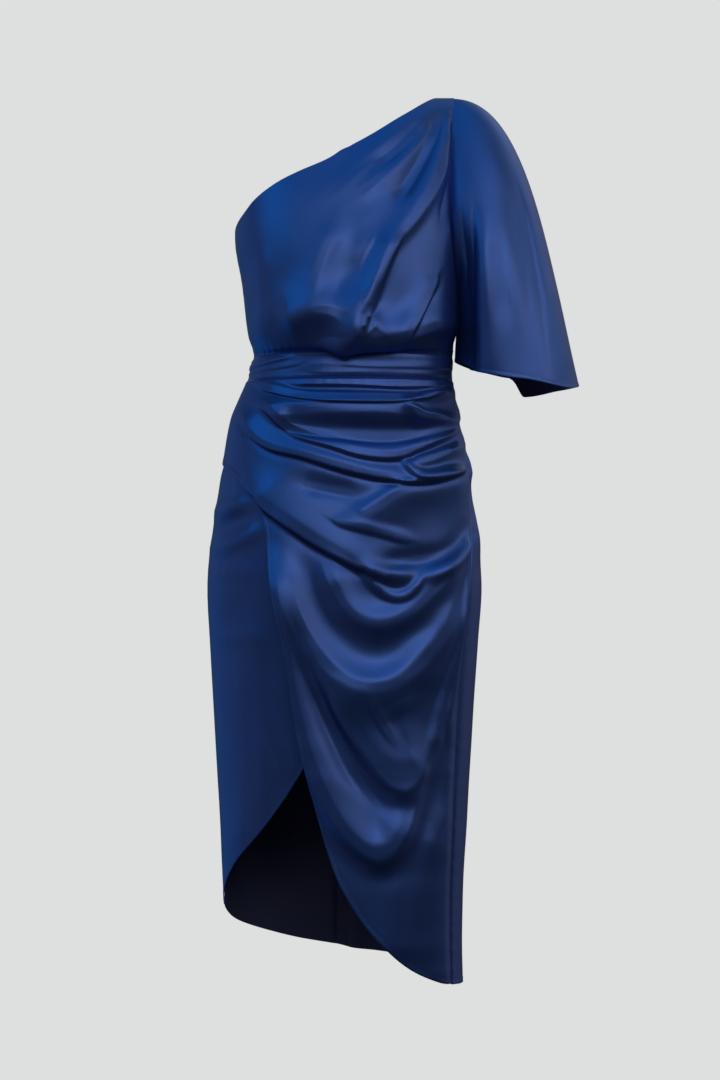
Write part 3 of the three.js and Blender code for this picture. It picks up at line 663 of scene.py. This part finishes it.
waistband = {
    "name": "waistband_satin", "node": "waistband", "held": "gathered",
    "grid": (400, 22),
    "flat": (0.80, 0.032), "area": 0.0256,
    "ripple": 0.5, "rippleForm": (26, 3, 12), "seedStep": 3,
    "foldStart": 5,
    "pucker": 0.4, "topPuckers": (7, 5, 27), "bottomPuckers": (7, 5, 28),
    "folds": [
        fold(2, 5, 3, (-150, -372), (-112, -362), (-60, -352)),
        fold(1.8, 5, 3, (-150, -378), (-110, -369), (-48, -362)),
        fold(1.3, 8, 5, (-60, -372), (0, -376), (60, -378), (150, -372)),
        fold(0.8, 9, 5, (-20, -362), (60, -364), (190, -360)),
    ],
}


def makeWaistband(materials):
    settings = waistband
    columns, rows = settings["grid"]
    places = tubePlaces(0, columns, np.linspace(bandTopRun + halfGap, bandBottomRun - halfGap, rows + 1))

    def height(p, angle, run):
        fromTop, fromBottom = run - bandTopRun, bandBottomRun - run
        sewn = gathers(arc(angle), fromTop, *settings["topPuckers"])
        sewn = sewn + gathers(arc(angle), fromBottom, *settings["bottomPuckers"])
        folds = creases(settings, p) + settings["pucker"] * sewn
        start = settings["foldStart"]
        return folds * smoothStep(fromTop / start) * smoothStep(fromBottom / start)
    return makePiece(settings, places, height, materials, tube=True)


# Skirt

wrapPanel = {
    "name": "skirt_wrap_satin", "node": "skirt_front_over", "held": "gathered",
    "restsOn": ["skirt_under_satin"],
    "grid": (186, 256),
    "flat": (0.56, 0.92), "area": 0.26,
    "lean": 0.2,
    "gatherAngle": 48.0,      # the folds build up over this angle from the left side seam
    "leftStart": 60.0, "waistStart": 6.0,     # and the panel's lift over these lengths from its seams
    "lowest": -0.5, "softness": 1.2,
    "ripple": 0.6, "rippleForm": (40, -25, 35), "seedStep": 4,
    "puckers": {"waist": (0.8, 8, 14, 31), "right": (0.7, 15, 14, 32), "left": (0.5, 9, 12, 33)},
    "folds": [
        # tucks below the waist
        fold(4.8, 5, 7, (-82, -390), (-6, -390), (73, -393), (142, -388)),
        fold(4.2, 7, 3.5, (-122, -392), (-78, -406), (-45, -412), (7, -414), (66, -414), (99, -412),
             (115, -405), (142, -390), dip=0.4),
        fold(8.5, 3.5, 12, (82, -415), (104, -411), (122, -406), (138, -400), fade=14, dip=0.1),
        fold(5.5, 6, 9, (78, -416), (86, -430), (97, -438), (118, -438), (146, -441), fade=12),
        # the broad hollow on the hip and the ridges under it
        fold(8, 15, 22, (-112, -432), (-58, -429), (7, -427), (66, -428), (104, -438), (140, -445),
             dip=0.1),
        fold(-7.5, 20, 7, (-100, -444), (-58, -456), (-6, -462), (47, -466), (92, -462), (130, -452),
             (156, -444), fade=40, dip=0.1),
        fold(5.8, 13, 6, (-124, -417), (-96, -428), (-72, -454), (-19, -472), (20, -485), (66, -489),
             (93, -479), (126, -462), (156, -449)),
        fold(7.5, 16, 3.8, (-145, -422), (-134, -442), (-122, -458), (-108, -471), (-90, -480),
             (-58, -487), (-26, -497), (27, -512), (60, -518), (106, -520), (162, -503), dip=0.45),
        fold(8.5, 4, 12, (80, -500), (110, -492), (132, -483), (148, -475), fade=14, dip=0.1),
        fold(5, 5, 5, (77, -498), (86, -510), (99, -517), (120, -516), (152, -507), fade=12),
        fold(7, 12, 30, (-4, -574), (34, -562), (57, -545), (92, -527), (124, -521), (176, -515),
             dip=0.15),
        fold(2.8, 8, 3, (-26, -568), (-6, -577), (27, -585), (60, -594), (98, -604)),
        fold(-3.6, 14, 12, (-66, -524), (-26, -533), (24, -541), fade=30),
        # the roll that carries the wrap down to the right seam, and the pocket it ends in
        fold(10, 36, 6, (-130, -524), (-103, -554), (-72, -576), (-32, -604), (0, -621), (30, -640),
             (52, -650), dip=0.4),
        fold(6, 12, 14, (20, -636), (52, -646), (74, -646), (98, -646), fade=22, dip=0),
        fold(-4.5, 12, 9, (40, -634), (73, -629), (110, -625), (139, -616), (156, -598), (170, -566)),
        fold(4.5, 5, 5, (28, -650), (46, -667), (62, -676), (76, -675), (90, -664), (99, -648), fade=16),
        fold(5.5, 7, 9, (92, -660), (104, -648), (120, -643), (145, -627), (161, -607), (171, -578)),
        # swags that hang from the right seam
        fold(9, 20, 20, (-30, -612), (-10, -668), (6, -694), (30, -709), (54, -710), (82, -697),
             (108, -672), (134, -644), (164, -606), fade=50),
        fold(13, 23, 34, (-100, -600), (-74, -667), (-53, -722), (-20, -768), (14, -790), (44, -795),
             (73, -784), (106, -750), (139, -704), (174, -636), fade=100, dip=0.1),
        fold(9, 44, 17, (-30, -780), (8, -842), (34, -880), (60, -917), (78, -928), (94, -905),
             (108, -866), fade=50),
        fold(13, 30, 16, (-106, -585), (-95, -635), (-84, -693), (-75, -746), (-67, -798), (-56, -851),
             (-42, -897), (-23, -943), (1, -983), (27, -1009), (47, -1020), (66, -998), (84, -955),
             (100, -905), fade=90),
        fold(-6.5, 11, 15, (-74, -680), (-62, -733), (-48, -775), (-32, -812), (-12, -858), (10, -901),
             (36, -940), (57, -962), fade=80),
        fold(3.6, 7, 7, (168, -640), (159, -706), (152, -746), (126, -838), (112, -891)),
        fold(2.6, 6, 6, (170, -600), (164, -690), (148, -800), (138, -880)),
        fold(1.3, 8, 8, (97, -1030), (113, -996), (126, -965), (150, -880)),
        # two press creases and the fall of the hem
        fold(1.2, 6, 4, (26, -798), (44, -835), (70, -876)),
        fold(1, 4, 6, (38, -840), (73, -820), (108, -806)),
        fold(5, 34, 34, (68, -1167), (78, -1075), (105, -970)),
        fold(4, 26, 26, (126, -1206), (126, -1075), (141, -943)),
    ],
}


def makeWrapPanel(materials):
    settings = wrapPanel
    place = skirtFrontMap(seams["wrap"], settings["lean"])
    columns, rows = settings["grid"]
    u, v = np.meshgrid(gatherEnds(np.linspace(0, 1, columns + 1), 0.3),
                       gatherEnds(np.linspace(0, 1, rows + 1) ** 1.15, 0.2))

    def height(p, angle, run):
        left, right = angle - dress["leftSeam"], seamAngle(run) - angle
        below = run - bandBottomRun
        folds = creases(settings, p) * smoothStep(left / settings["gatherAngle"])
        lifted = softFloor(dress["wrapLift"] + folds, settings["lowest"], settings["softness"])
        ends = beside(left, settings["leftStart"]) * beside(right)
        lifted *= ends * smoothStep(below / settings["waistStart"])
        return lifted + puckers(settings, angle, run, below, left, right) + pull(right)
    return makePiece(settings, place(u, v), height, materials, hemmed=True)


underPanel = {
    "name": "skirt_under_satin", "node": "skirt_front_under", "held": "hung",
    "grid": (150, 110),
    "flat": (0.42, 0.76), "area": 0.20,
    "ripple": 0.8, "rippleForm": (60, 80, 30), "seedStep": 5,
    "pucker": 0.5, "leftPuckers": (13, 10, 34),
    # it rises from under the wrap over showsOver down the left seam and sinks again between two angles
    # from that seam, and its folds begin bareFrom below the wrap's edge
    "showsOver": 25, "sinksFrom": 6, "sunkAt": 30,
    "bareFrom": 4, "bareOver": 18,
    "folds": [
        fold(4, 8, 9, (-186, -572), (-158, -557), (-118, -548)),
        fold(3.6, 9, 9, (-190, -618), (-140, -600), (-100, -580)),
        fold(1.2, 5, 7, (-192, -642), (-150, -643), (-104, -642)),
        fold(1, 7, 7, (-188, -732), (-150, -731), (-96, -728)),
        fold(-3.4, 8, 8, (-186, -592), (-150, -580), (-112, -562)),
        fold(-2.6, 9, 9, (-182, -548), (-160, -534), (-140, -520)),
        fold(3, 26, 26, (-136, -700), (-122, -850), (-128, -1020)),
        fold(1.6, 12, 9, (-150, -760), (-104, -840), (-70, -930)),
    ],
}


def makeUnderPanel(materials):
    settings = underPanel
    places = panelPlaces(skirtFrontMap(seams["under"], 0.0), *settings["grid"])
    wrapX, wrapZ = zip(*seams["wrap"])
    showsFrom = float(runAt(seams["wrap"][0][1]))

    def height(p, angle, run):
        left, right = angle - dress["leftSeam"], seamAngle(run) - angle
        near = (settings["sunkAt"] - left) / (settings["sunkAt"] - settings["sinksFrom"])
        shows = smoothStep((run - showsFrom) / settings["showsOver"]) * smoothStep(near)
        belowWrap = np.interp(p[..., 0], wrapX, wrapZ) - p[..., 2]
        sewn = settings["pucker"] * gathers(run, arc(left), *settings["leftPuckers"])
        folds = creases(settings, p) + sewn
        folds *= smoothStep((belowWrap - settings["bareFrom"]) / settings["bareOver"])
        return folds * beside(left) * beside(right) - dress["underDepth"] * (1 - shows)
    return makePiece(settings, places, height, materials, hemmed=True)


skirtBack = {
    "name": "skirt_back_satin", "node": "skirt_back", "held": "hung",
    "grid": (216, 190),
    "flat": (0.62, 0.84), "area": 0.44,
    "ventPlace": 0.58, "ventSpread": 0.07,
    "ripple": 1.0, "rippleForm": (62, 85, 25), "seedStep": 6,
    "puckers": {"waist": (0.7, 8, 13, 35), "right": (0.8, 14, 12, 36), "left": (0.8, 13, 10, 37)},
    "folds": [
        fold(5, 16, 8, (40, -452), (110, -438), (172, -428)),
        fold(7, 22, 16, (0, -580), (90, -530), (184, -498)),
        fold(6, 30, 22, (-40, -720), (60, -660), (186, -590)),
        fold(5, 20, 13, (-186, -470), (-110, -488), (-50, -530)),
        fold(6, 34, 34, (-104, -700), (-92, -900), (-98, -1130), fade=150),
        fold(6, 34, 34, (96, -740), (84, -920), (92, -1170), fade=150),
        fold(4, 9, 9, (-4, -1000), (-4, -1120), (-4, -1230), fade=120),
        fold(2.8, 9, 5, (-60, -396), (10, -402), (110, -396)),
        fold(2.6, 10, 6, (-140, -410), (-70, -420), (0, -416)),
        fold(3, 14, 7, (60, -500), (120, -478), (180, -462)),
        fold(-3, 16, 16, (-20, -640), (70, -590), (180, -540)),
        fold(-2.4, 14, 14, (-180, -520), (-110, -540), (-40, -590)),
        fold(-3, 24, 24, (-40, -820), (-34, -960), (-44, -1130), fade=150),
        fold(-3, 22, 22, (40, -820), (34, -960), (40, -1150), fade=150),
    ],
}


def makeSkirtBack(materials):
    settings = skirtBack
    left = rightSeamEdge(seams["backHem"][0][1], 1.6 * angleGap)
    farSeam = 360 + dress["leftSeam"] - angleGap
    topRight = (farSeam, bandBottomRun + halfGap)
    bottomRight = (farSeam, float(runAt(seams["backHem"][-1][1])))
    hemPoints = [(a, float(runAt(z))) for a, z in seams["backHem"][1:-1]]
    place = panelMap(
        top=straightEdge(left(0.0), topRight),
        bottom=smoothEdge([tuple(left(1.0))] + hemPoints + [bottomRight]),
        left=left,
        right=straightEdge(topRight, bottomRight),
    )
    columns, rows = settings["grid"]
    t = np.linspace(0, 1, columns + 1)
    t = t + settings["ventSpread"] * np.sin(2 * math.pi * (t - settings["ventPlace"] + 0.5))
    u, v = np.meshgrid((t - t[0]) / (t[-1] - t[0]), gatherEnds(np.linspace(0, 1, rows + 1), 0.5))

    def height(p, angle, run):
        right, left = angle - seamAngle(run), farSeam - angle
        below = run - bandBottomRun
        folds = creases(settings, p) * beside(right) * beside(left) * smoothStep(below / dress["foldStart"])
        return folds + puckers(settings, angle, run, below, left, right) + pull(right) + pull(left)
    return makePiece(settings, place(u, v), height, materials, hemmed=True)


# Sleeve: a tube from the armhole to its hem

sleeve = {
    "name": "sleeve_satin", "node": "sleeve", "held": "draped",
    "grid": (216, 165),
    "flat": (0.62, 0.36), "area": 0.175,
    "tuckedUnder": 2.0,
    "hem": {"x": 233.5, "halfWidth": 84, "halfDepth": 93, "square": 2.4},
    "hemCorner": {"angle": 172, "rise": 26, "width": 10, "settles": 80},   # a step in the hem at the back
    # Round it, the angle, how the cloth leaves the armhole, how it comes down to the hem, and the hem's
    # height. 90 is over the arm, -90 the underarm seam.
    "rows": [
        (-90, (7, 0, -28), (0, 0, -30), -358),
        (-45, (15, -24, -52), (0, 2, -80), -375),
        (0, (36, -44, -58), (8, -8, -120), -387),
        (45, (82, -34, -23), (26, -14, -170), -398),
        (90, (100, 0, -2), (46, 0, -196), -392),
        (135, (82, 34, -23), (26, 14, -170), -394),
        (180, (36, 44, -58), (8, 8, -120), -401),
        (225, (15, 24, -52), (0, 0, -80), -380),
    ],
    "ripple": 0.35, "rippleForm": (60, 98, 8), "seedStep": 7,
    "radius": 95, "length": 350, "pucker": 0.7, "armholePuckers": (9, 12, 38),
    "foldStart": 0.12, "puckerStart": 0.01,   # shares of its length
    "sideFlat": 1.6,                          # the folds end towards the sides, where the cosine falls
    "folds": [
        fold(-14, 13, 13, (158, -440), (158, -340), (160, -240), (165, -130), fade=110, dip=0),
        fold(3.4, 16, 32, (181, -430), (180, -340), (179, -240), (176, -130), fade=80),
        fold(-1.8, 9, 9, (214, -330), (206, -250), (198, -180), fade=50),
        fold(-3.2, 16, 9, (266, -400), (258, -310), (244, -210), (218, -100), fade=90),
        fold(1.8, 9, 9, (268, -390), (258, -300), (250, -240), fade=60),
        fold(2, 12, 10, (296, -400), (286, -310), (268, -230), fade=50),
    ],
}
frontArmhole = armholeEdge(dress["underarmSeam"])
backArmhole = armholeEdge(180 - dress["underarmSeam"])


def roundColumn(values):
    # a smooth column that closes on itself round the sleeve
    angles = [row[0] for row in sleeve["rows"]]
    values = list(values)
    return smoothColumn([-180, -135] + angles + [270, 315], values[-2:] + values + values[:2])


_, outs, downs, hems = zip(*sleeve["rows"])
sleeveOut = [roundColumn(axis) for axis in zip(*outs)]
sleeveDown = [roundColumn(axis) for axis in zip(*downs)]
sleeveHemColumn = roundColumn(hems)


def sleeveHemHeight(angle):
    corner = sleeve["hemCorner"]
    step = smoothStep((angle - corner["angle"]) / corner["width"])
    step = step * smoothStep((270 - angle) / corner["settles"])
    return sleeveHemColumn(angle) + corner["rise"] * step


def armholePoint(angle):
    front = angle <= 90
    t = np.abs(90 - angle) / 180
    edge = np.where(front[..., None], frontArmhole(t), backArmhole(t))
    aside = edge[..., 0] - math.degrees(sleeve["tuckedUnder"] / dress["radius"])
    around = np.where(front, aside, 180 - aside)
    inwards = outward(formPoint, around, edge[..., 1], *formSteps) * -dress["cloth"]
    return formPoint(around, edge[..., 1]) + inwards


def sleevePoint(anyAngle, w):
    # a cubic Bezier curve from the armhole to the hem at each angle
    angle = np.mod(anyAngle + 90, 360) - 90
    sine, cosine = np.sin(np.radians(angle)), np.cos(np.radians(angle))
    hem = sleeve["hem"]
    power = 2 / hem["square"]
    start = armholePoint(angle)
    end = np.stack([hem["x"] + hem["halfWidth"] * signedPower(sine, power),
                    -hem["halfDepth"] * signedPower(cosine, power), sleeveHemHeight(angle)], -1)
    leave = start + np.stack([column(angle) for column in sleeveOut], -1)
    arrive = end - np.stack([column(angle) for column in sleeveDown], -1)
    w = w[..., None]
    k = 1 - w
    return k ** 3 * start + 3 * k * k * w * leave + 3 * k * w * w * arrive + w ** 3 * end


def makeSleeve(materials):
    settings = sleeve
    columns, rows = settings["grid"]
    places = tubePlaces(-90, columns, gatherEnds(np.linspace(0, 1, rows + 1), 0.5))

    def height(p, angle, w):
        flat = smoothStep(np.abs(np.cos(np.radians(angle))) * settings["sideFlat"])
        start = smoothStep(w / settings["foldStart"])
        folds = foldHeight(settings["folds"], p[..., 0], p[..., 2]) * (flat * start)
        around, away = np.radians(angle) * settings["radius"], w * settings["length"]
        sewn = settings["pucker"] * gathers(around, away, *settings["armholePuckers"])
        return folds + ripples(settings, p) * start + sewn * smoothStep(w / settings["puckerStart"])
    return makePiece(settings, places, height, materials, sleevePoint, (0.2, 0.001), hemmed=True, tube=True)


# Hem stitches: a row of short threads, a set distance in from each free edge

stitch = {"length": 2.3, "pitch": 3.4, "thread": 0.32, "thin": 0.02, "lift": 0.12, "sides": 6, "rings": 4}


def hemLine(outer, facing, hemGap):
    # on each column of the grid, the place where the distance to the hem is the inset
    points, normals = [], []
    for column in range(outer.shape[1]):
        gaps = hemGap[::-1, column]
        hit = np.flatnonzero(gaps >= dress["hemInset"])
        if len(hit) == 0 or hit[0] == 0:
            continue
        row, before = outer.shape[0] - 1 - hit[0], outer.shape[0] - hit[0]
        share = (dress["hemInset"] - hemGap[before, column]) / (hemGap[row, column] - hemGap[before, column])
        points.append(outer[before, column] * (1 - share) + outer[row, column] * share)
        normals.append(facing[before, column])
    return np.array(points), np.array(normals)


def makeStitches(name, lines, material):
    # each stitch is a small closed spindle, thicker in its middle, that lies along the hem line
    spindles = []
    for points, normals in lines:
        steps = lengthsAlong(points)
        starts = np.arange(stitch["pitch"], steps[-1] - stitch["pitch"], stitch["pitch"])
        along = np.linspace(0, stitch["length"], stitch["rings"] + 2)
        at = starts[:, None] + along[None]
        middle = readAlong(at, steps, points)
        up = unit(readAlong(at, steps, normals))
        ahead = unit(np.gradient(middle, axis=1))
        aside = unit(np.cross(up, ahead))
        share = along / stitch["length"]
        radius = stitch["thread"] * np.sqrt(np.maximum(4 * share * (1 - share), stitch["thin"]))
        turn = np.arange(stitch["sides"]) * 2 * math.pi / stitch["sides"]
        middle = middle + up * (stitch["lift"] * np.sin(math.pi * share))[None, :, None]
        rings = (middle[:, :, None]
                 + aside[:, :, None] * (radius[:, None] * np.cos(turn))[None, :, :, None]
                 + up[:, :, None] * (radius[:, None] * np.sin(turn))[None, :, :, None])
        spindles.append(rings)
    rings = np.concatenate(spindles)
    count, ringCount, sides = rings.shape[:3]
    index = np.arange(count * ringCount * sides).reshape(count, ringCount, sides)
    ahead = np.roll(index, -1, 2)
    faces = np.stack([index[:, :-1], index[:, 1:], ahead[:, 1:], ahead[:, :-1]], -1).reshape(-1, 4)
    ends = np.concatenate([index[:, 0].reshape(-1, sides), index[:, -1, ::-1].reshape(-1, sides)])
    halves = np.concatenate([ends[:, [0, 1, 2, 3]], ends[:, [0, 3, 4, 5]]])
    faces = np.concatenate([faces[:, ::-1], halves[:, ::-1]])
    piece = makeMesh(name, rings.reshape(-1, 3), faces, np.zeros(len(faces)), [material])
    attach(piece, "root")
    print(name, "stitches", count)


# Materials

def operator(kind):
    # how a wire meets what is on its right, and its reflected form, for a number on its left
    def onRight(wire, other):
        return wire.maths(kind, wire, other)

    def onLeft(wire, other):
        return wire.maths(kind, other, wire)
    return onRight, onLeft


class Wire:
    # a socket, with the maths that the shaders use
    def __init__(self, tree, socket):
        self.tree = tree
        self.socket = socket

    def maths(self, kind, first, second):
        return self.node("ShaderNodeMath", {"operation": kind}, in0=first, in1=second)

    __add__, __radd__ = operator("ADD")
    __sub__, __rsub__ = operator("SUBTRACT")
    __mul__, __rmul__ = operator("MULTIPLY")
    __pow__, __rpow__ = operator("POWER")

    def node(self, kind, settings=None, output=0, **sockets):
        # any other node: its settings first, then its sockets by name, or by number as in0, and its output
        made = self.tree.nodes.new(kind)
        for key, value in (settings or {}).items():
            setattr(made, key, value)
        for key, value in sockets.items():
            socket = made.inputs[int(key[2:]) if key.startswith("in") else key]
            if isinstance(value, Wire):
                self.tree.links.new(value.socket, socket)
            else:
                socket.default_value = value
        return Wire(self.tree, made.outputs[output])

    def between(self, low, high):
        # a colour from low to high, by this share
        return self.node("ShaderNodeMix", {"data_type": "RGBA"}, 2, in0=self, in6=low, in7=high)

    def feed(self, shader, name):
        self.tree.links.new(self.socket, shader.inputs[name])


satinLook = {
    "colour": (0.060, 0.120, 0.385, 1),
    "deepColour": (0.050, 0.104, 0.345, 1),
    "metallic": 0.80,
    "roughness": 0.42,
    "threadsPerMetre": 1500,
    "streakLength": 14,       # times its width
    "streakDetail": 2.0, "streakShade": 0.5, "streakGloss": 0.08,
    "cloudsPerMetre": 16.0, "cloudDetail": 3.0, "cloudShade": 0.9, "cloudGloss": 0.10,
    "weaveBump": 0.16,
}
weaveDepth = 0.0003
insideLook = {"colour": (0.085, 0.094, 0.200, 1), "deepColour": (0.055, 0.062, 0.140, 1),
              "grainPerMetre": 900, "grainDetail": 2.0, "weaveBump": 0.15, "roughness": 0.72, "specular": 0.3}
threadLook = {"colour": (0.008, 0.045, 0.19, 1), "deepColour": (0.004, 0.024, 0.11, 1),
              "twistPerMetre": 2600, "roughness": 0.5}


def newMaterial(name):
    material = bpy.data.materials.new(name)
    material.use_nodes = True
    tree = material.node_tree
    return material, Wire(tree, None), tree.nodes["Principled BSDF"]


def clothNoise(wire, place, scale, detail):
    return wire.node("ShaderNodeTexNoise", {"noise_dimensions": "2D"},
                     Vector=place, Scale=scale, Detail=detail)


def weave(wire, shader, strength, height):
    bump = wire.node("ShaderNodeBump", Strength=strength, Distance=weaveDepth, Height=height)
    bump.feed(shader, "Normal")


def makeSatin():
    # the shiny face: fine streaks along the threads, a soft unevenness in colour and gloss
    material, wire, shader = newMaterial("navy_satin")
    look = satinLook
    place = wire.node("ShaderNodeUVMap", {"uv_map": "cloth"})
    threads = wire.node("ShaderNodeMapping", {"vector_type": "POINT"}, Vector=place,
                        Scale=(look["threadsPerMetre"], look["threadsPerMetre"] / look["streakLength"], 1))
    streak = clothNoise(wire, threads, 1.0, look["streakDetail"])
    cloud = clothNoise(wire, place, look["cloudsPerMetre"], look["cloudDetail"])
    shade = (streak - 0.5) * look["streakShade"] + (cloud - 0.5) * look["cloudShade"] + 0.5
    shade.between(look["deepColour"], look["colour"]).feed(shader, "Base Color")
    gloss = (cloud - 0.5) * look["cloudGloss"] + (streak - 0.5) * look["streakGloss"] + look["roughness"]
    gloss.feed(shader, "Roughness")
    weave(wire, shader, look["weaveBump"], streak)
    shader.inputs["Metallic"].default_value = look["metallic"]
    return material


def makeInside():
    # the dull back of the cloth, darker and without the sheen
    material, wire, shader = newMaterial("navy_satin_back")
    look = insideLook
    place = wire.node("ShaderNodeUVMap", {"uv_map": "cloth"})
    grain = clothNoise(wire, place, look["grainPerMetre"], look["grainDetail"])
    grain.between(look["deepColour"], look["colour"]).feed(shader, "Base Color")
    weave(wire, shader, look["weaveBump"], grain)
    shader.inputs["Roughness"].default_value = look["roughness"]
    shader.inputs["Specular IOR Level"].default_value = look["specular"]
    return material


def makeThread():
    material, wire, shader = newMaterial("navy_thread")
    look = threadLook
    place = wire.node("ShaderNodeTexCoord", output="Object")
    twist = wire.node("ShaderNodeTexNoise", Vector=place, Scale=look["twistPerMetre"])
    twist.between(look["deepColour"], look["colour"]).feed(shader, "Base Color")
    shader.inputs["Roughness"].default_value = look["roughness"]
    return material


# Putting the dress together

cloth = [makeSatin(), makeInside()]
makeBodiceFront(cloth)
makeBodiceBack(cloth)
makeWaistband(cloth)
hemLines = [hemLine(*make(cloth)) for make in (makeUnderPanel, makeWrapPanel, makeSkirtBack, makeSleeve)]
makeStitches("hem_stitches", hemLines, makeThread())
print("dress made")


# Studio: a pale seamless ground that gives no light to the dress, soft lights, and the camera

studio = {
    "ground": (0.7305, 0.7454, 0.7379, 1),
    "floor": -1.45,
    "size": 14.0,
    # the room round the dress: a dim level, and soft glows, each with its degrees to the right of the
    # front, its degrees up and its colour
    "dim": (0.016, 0.017, 0.022, 1),
    "glowPower": 24,
    "glows": [
        (-118, 12, (0.18, 0.28, 0.38, 1)),
        (-130, -28, (0.0, 0.26, 0.50, 1)),
        (-82, 2, (0.18, 0.18, 0.20, 1)),
        (-52, 0, (0.04, 0.05, 0.06, 1)),
        (125, 42, (0.95, 1.0, 0.92, 1)),
        (115, 5, (0.28, 0.24, 0.25, 1)),
        (-45, -22, (0.13, 0.10, 0.10, 1)),
        (-15, 55, (0.0, 0.30, 0.54, 1)),
        (0, 85, (0.0, 0.38, 0.62, 1)),
        (180, 25, (0.40, 0.46, 0.56, 1)),
    ],
    "camera": (-0.1166, -3.4, -0.6011),
    "lens": 83.3,
    "sensor": 36,
    "aimedAt": (0, 0, -0.4),
    "lights": [
        # name, place, width and height, watts, colour
        ("front", (0.15, -3.0, 0.74), (2.1, 0.8), 12, (1.0, 0.98, 0.90)),
        ("left_high", (-1.9, -1.4, 1.05), (1.5, 1.5), 7.6, (0.04, 0.66, 1.0)),
        ("right_high", (1.1, -2.2, 1.3), (1.6, 1.6), 7.6, (0.62, 0.82, 1.0)),
        ("right_low", (1.9, -1.7, 0.35), (1.2, 1.2), 7.0, (1.0, 0.82, 0.72)),
        ("right_side", (2.2, -0.3, 0.4), (1.2, 1.2), 3.0, (0.76, 1.0, 0.92)),
    ],
}


def makeGround():
    # a large closed room, seen by the camera alone
    material = bpy.data.materials.new("studio_ground")
    material.use_nodes = True
    tree = material.node_tree
    tree.nodes.clear()
    glow = Wire(tree, None).node("ShaderNodeEmission", Color=studio["ground"])
    glow.feed(tree.nodes.new("ShaderNodeOutputMaterial"), "Surface")
    half = studio["size"] / 2
    low, high = studio["floor"], studio["floor"] + studio["size"]
    corners = [(x, y, z) for z in (low, high) for y in (-half, half) for x in (-half, half)]
    walls = [(0, 1, 3, 2), (4, 6, 7, 5), (0, 4, 5, 1), (2, 3, 7, 6), (0, 2, 6, 4), (1, 5, 7, 3)]
    mesh = bpy.data.meshes.new("studio_room")
    mesh.from_pydata(corners, [], walls)
    mesh.materials.append(material)
    room = addObject("studio_room", mesh)
    for rays in ("visible_diffuse", "visible_glossy", "visible_transmission", "visible_shadow"):
        setattr(room, rays, False)


def aim(piece, place, towards):
    direction = np.array(towards, float) - np.array(place, float)
    level = math.hypot(direction[0], direction[1])
    piece.location = place
    piece.rotation_euler = (math.atan2(level, -direction[2]), 0, math.atan2(-direction[0], direction[1]))


def makeLights():
    for name, place, (width, height), watts, colour in studio["lights"]:
        lamp = bpy.data.lights.new(name, "AREA")
        lamp.shape = "RECTANGLE"
        lamp.size, lamp.size_y = width, height
        lamp.energy, lamp.color = watts, colour
        piece = addObject(name, lamp)
        piece.visible_camera = False
        aim(piece, place, studio["aimedAt"])
    world = bpy.data.worlds.new("studio")
    bpy.context.scene.world = world
    world.use_nodes = True
    tree = world.node_tree
    wire = Wire(tree, None)
    direction = wire.node("ShaderNodeTexCoord", output="Generated")
    room = studio["dim"]
    for turn, up, colour in studio["glows"]:
        # the glow adds its colour by ((cos + 1) / 2) ** glowPower of the angle to its middle
        turn, up = math.radians(turn), math.radians(up)
        middle = (math.sin(turn) * math.cos(up), -math.cos(turn) * math.cos(up), math.sin(up))
        facing = wire.node("ShaderNodeVectorMath", {"operation": "DOT_PRODUCT"}, "Value",
                           in0=direction, in1=middle)
        share = (facing * 0.5 + 0.5) ** studio["glowPower"]
        room = wire.node("ShaderNodeMix", {"data_type": "RGBA", "blend_type": "ADD"}, 2,
                         in0=share, in6=room, in7=colour)
    room.feed(tree.nodes["Background"], "Color")


def makeCamera():
    camera = bpy.data.cameras.new("camera")
    camera.lens = studio["lens"]
    camera.sensor_width = studio["sensor"]
    piece = addObject("camera", camera)
    piece.location = studio["camera"]
    piece.rotation_euler = (math.pi / 2, 0, 0)
    bpy.context.scene.camera = piece
    bpy.context.scene.view_settings.view_transform = "Standard"


makeGround()
makeLights()
makeCamera()
print("studio made")
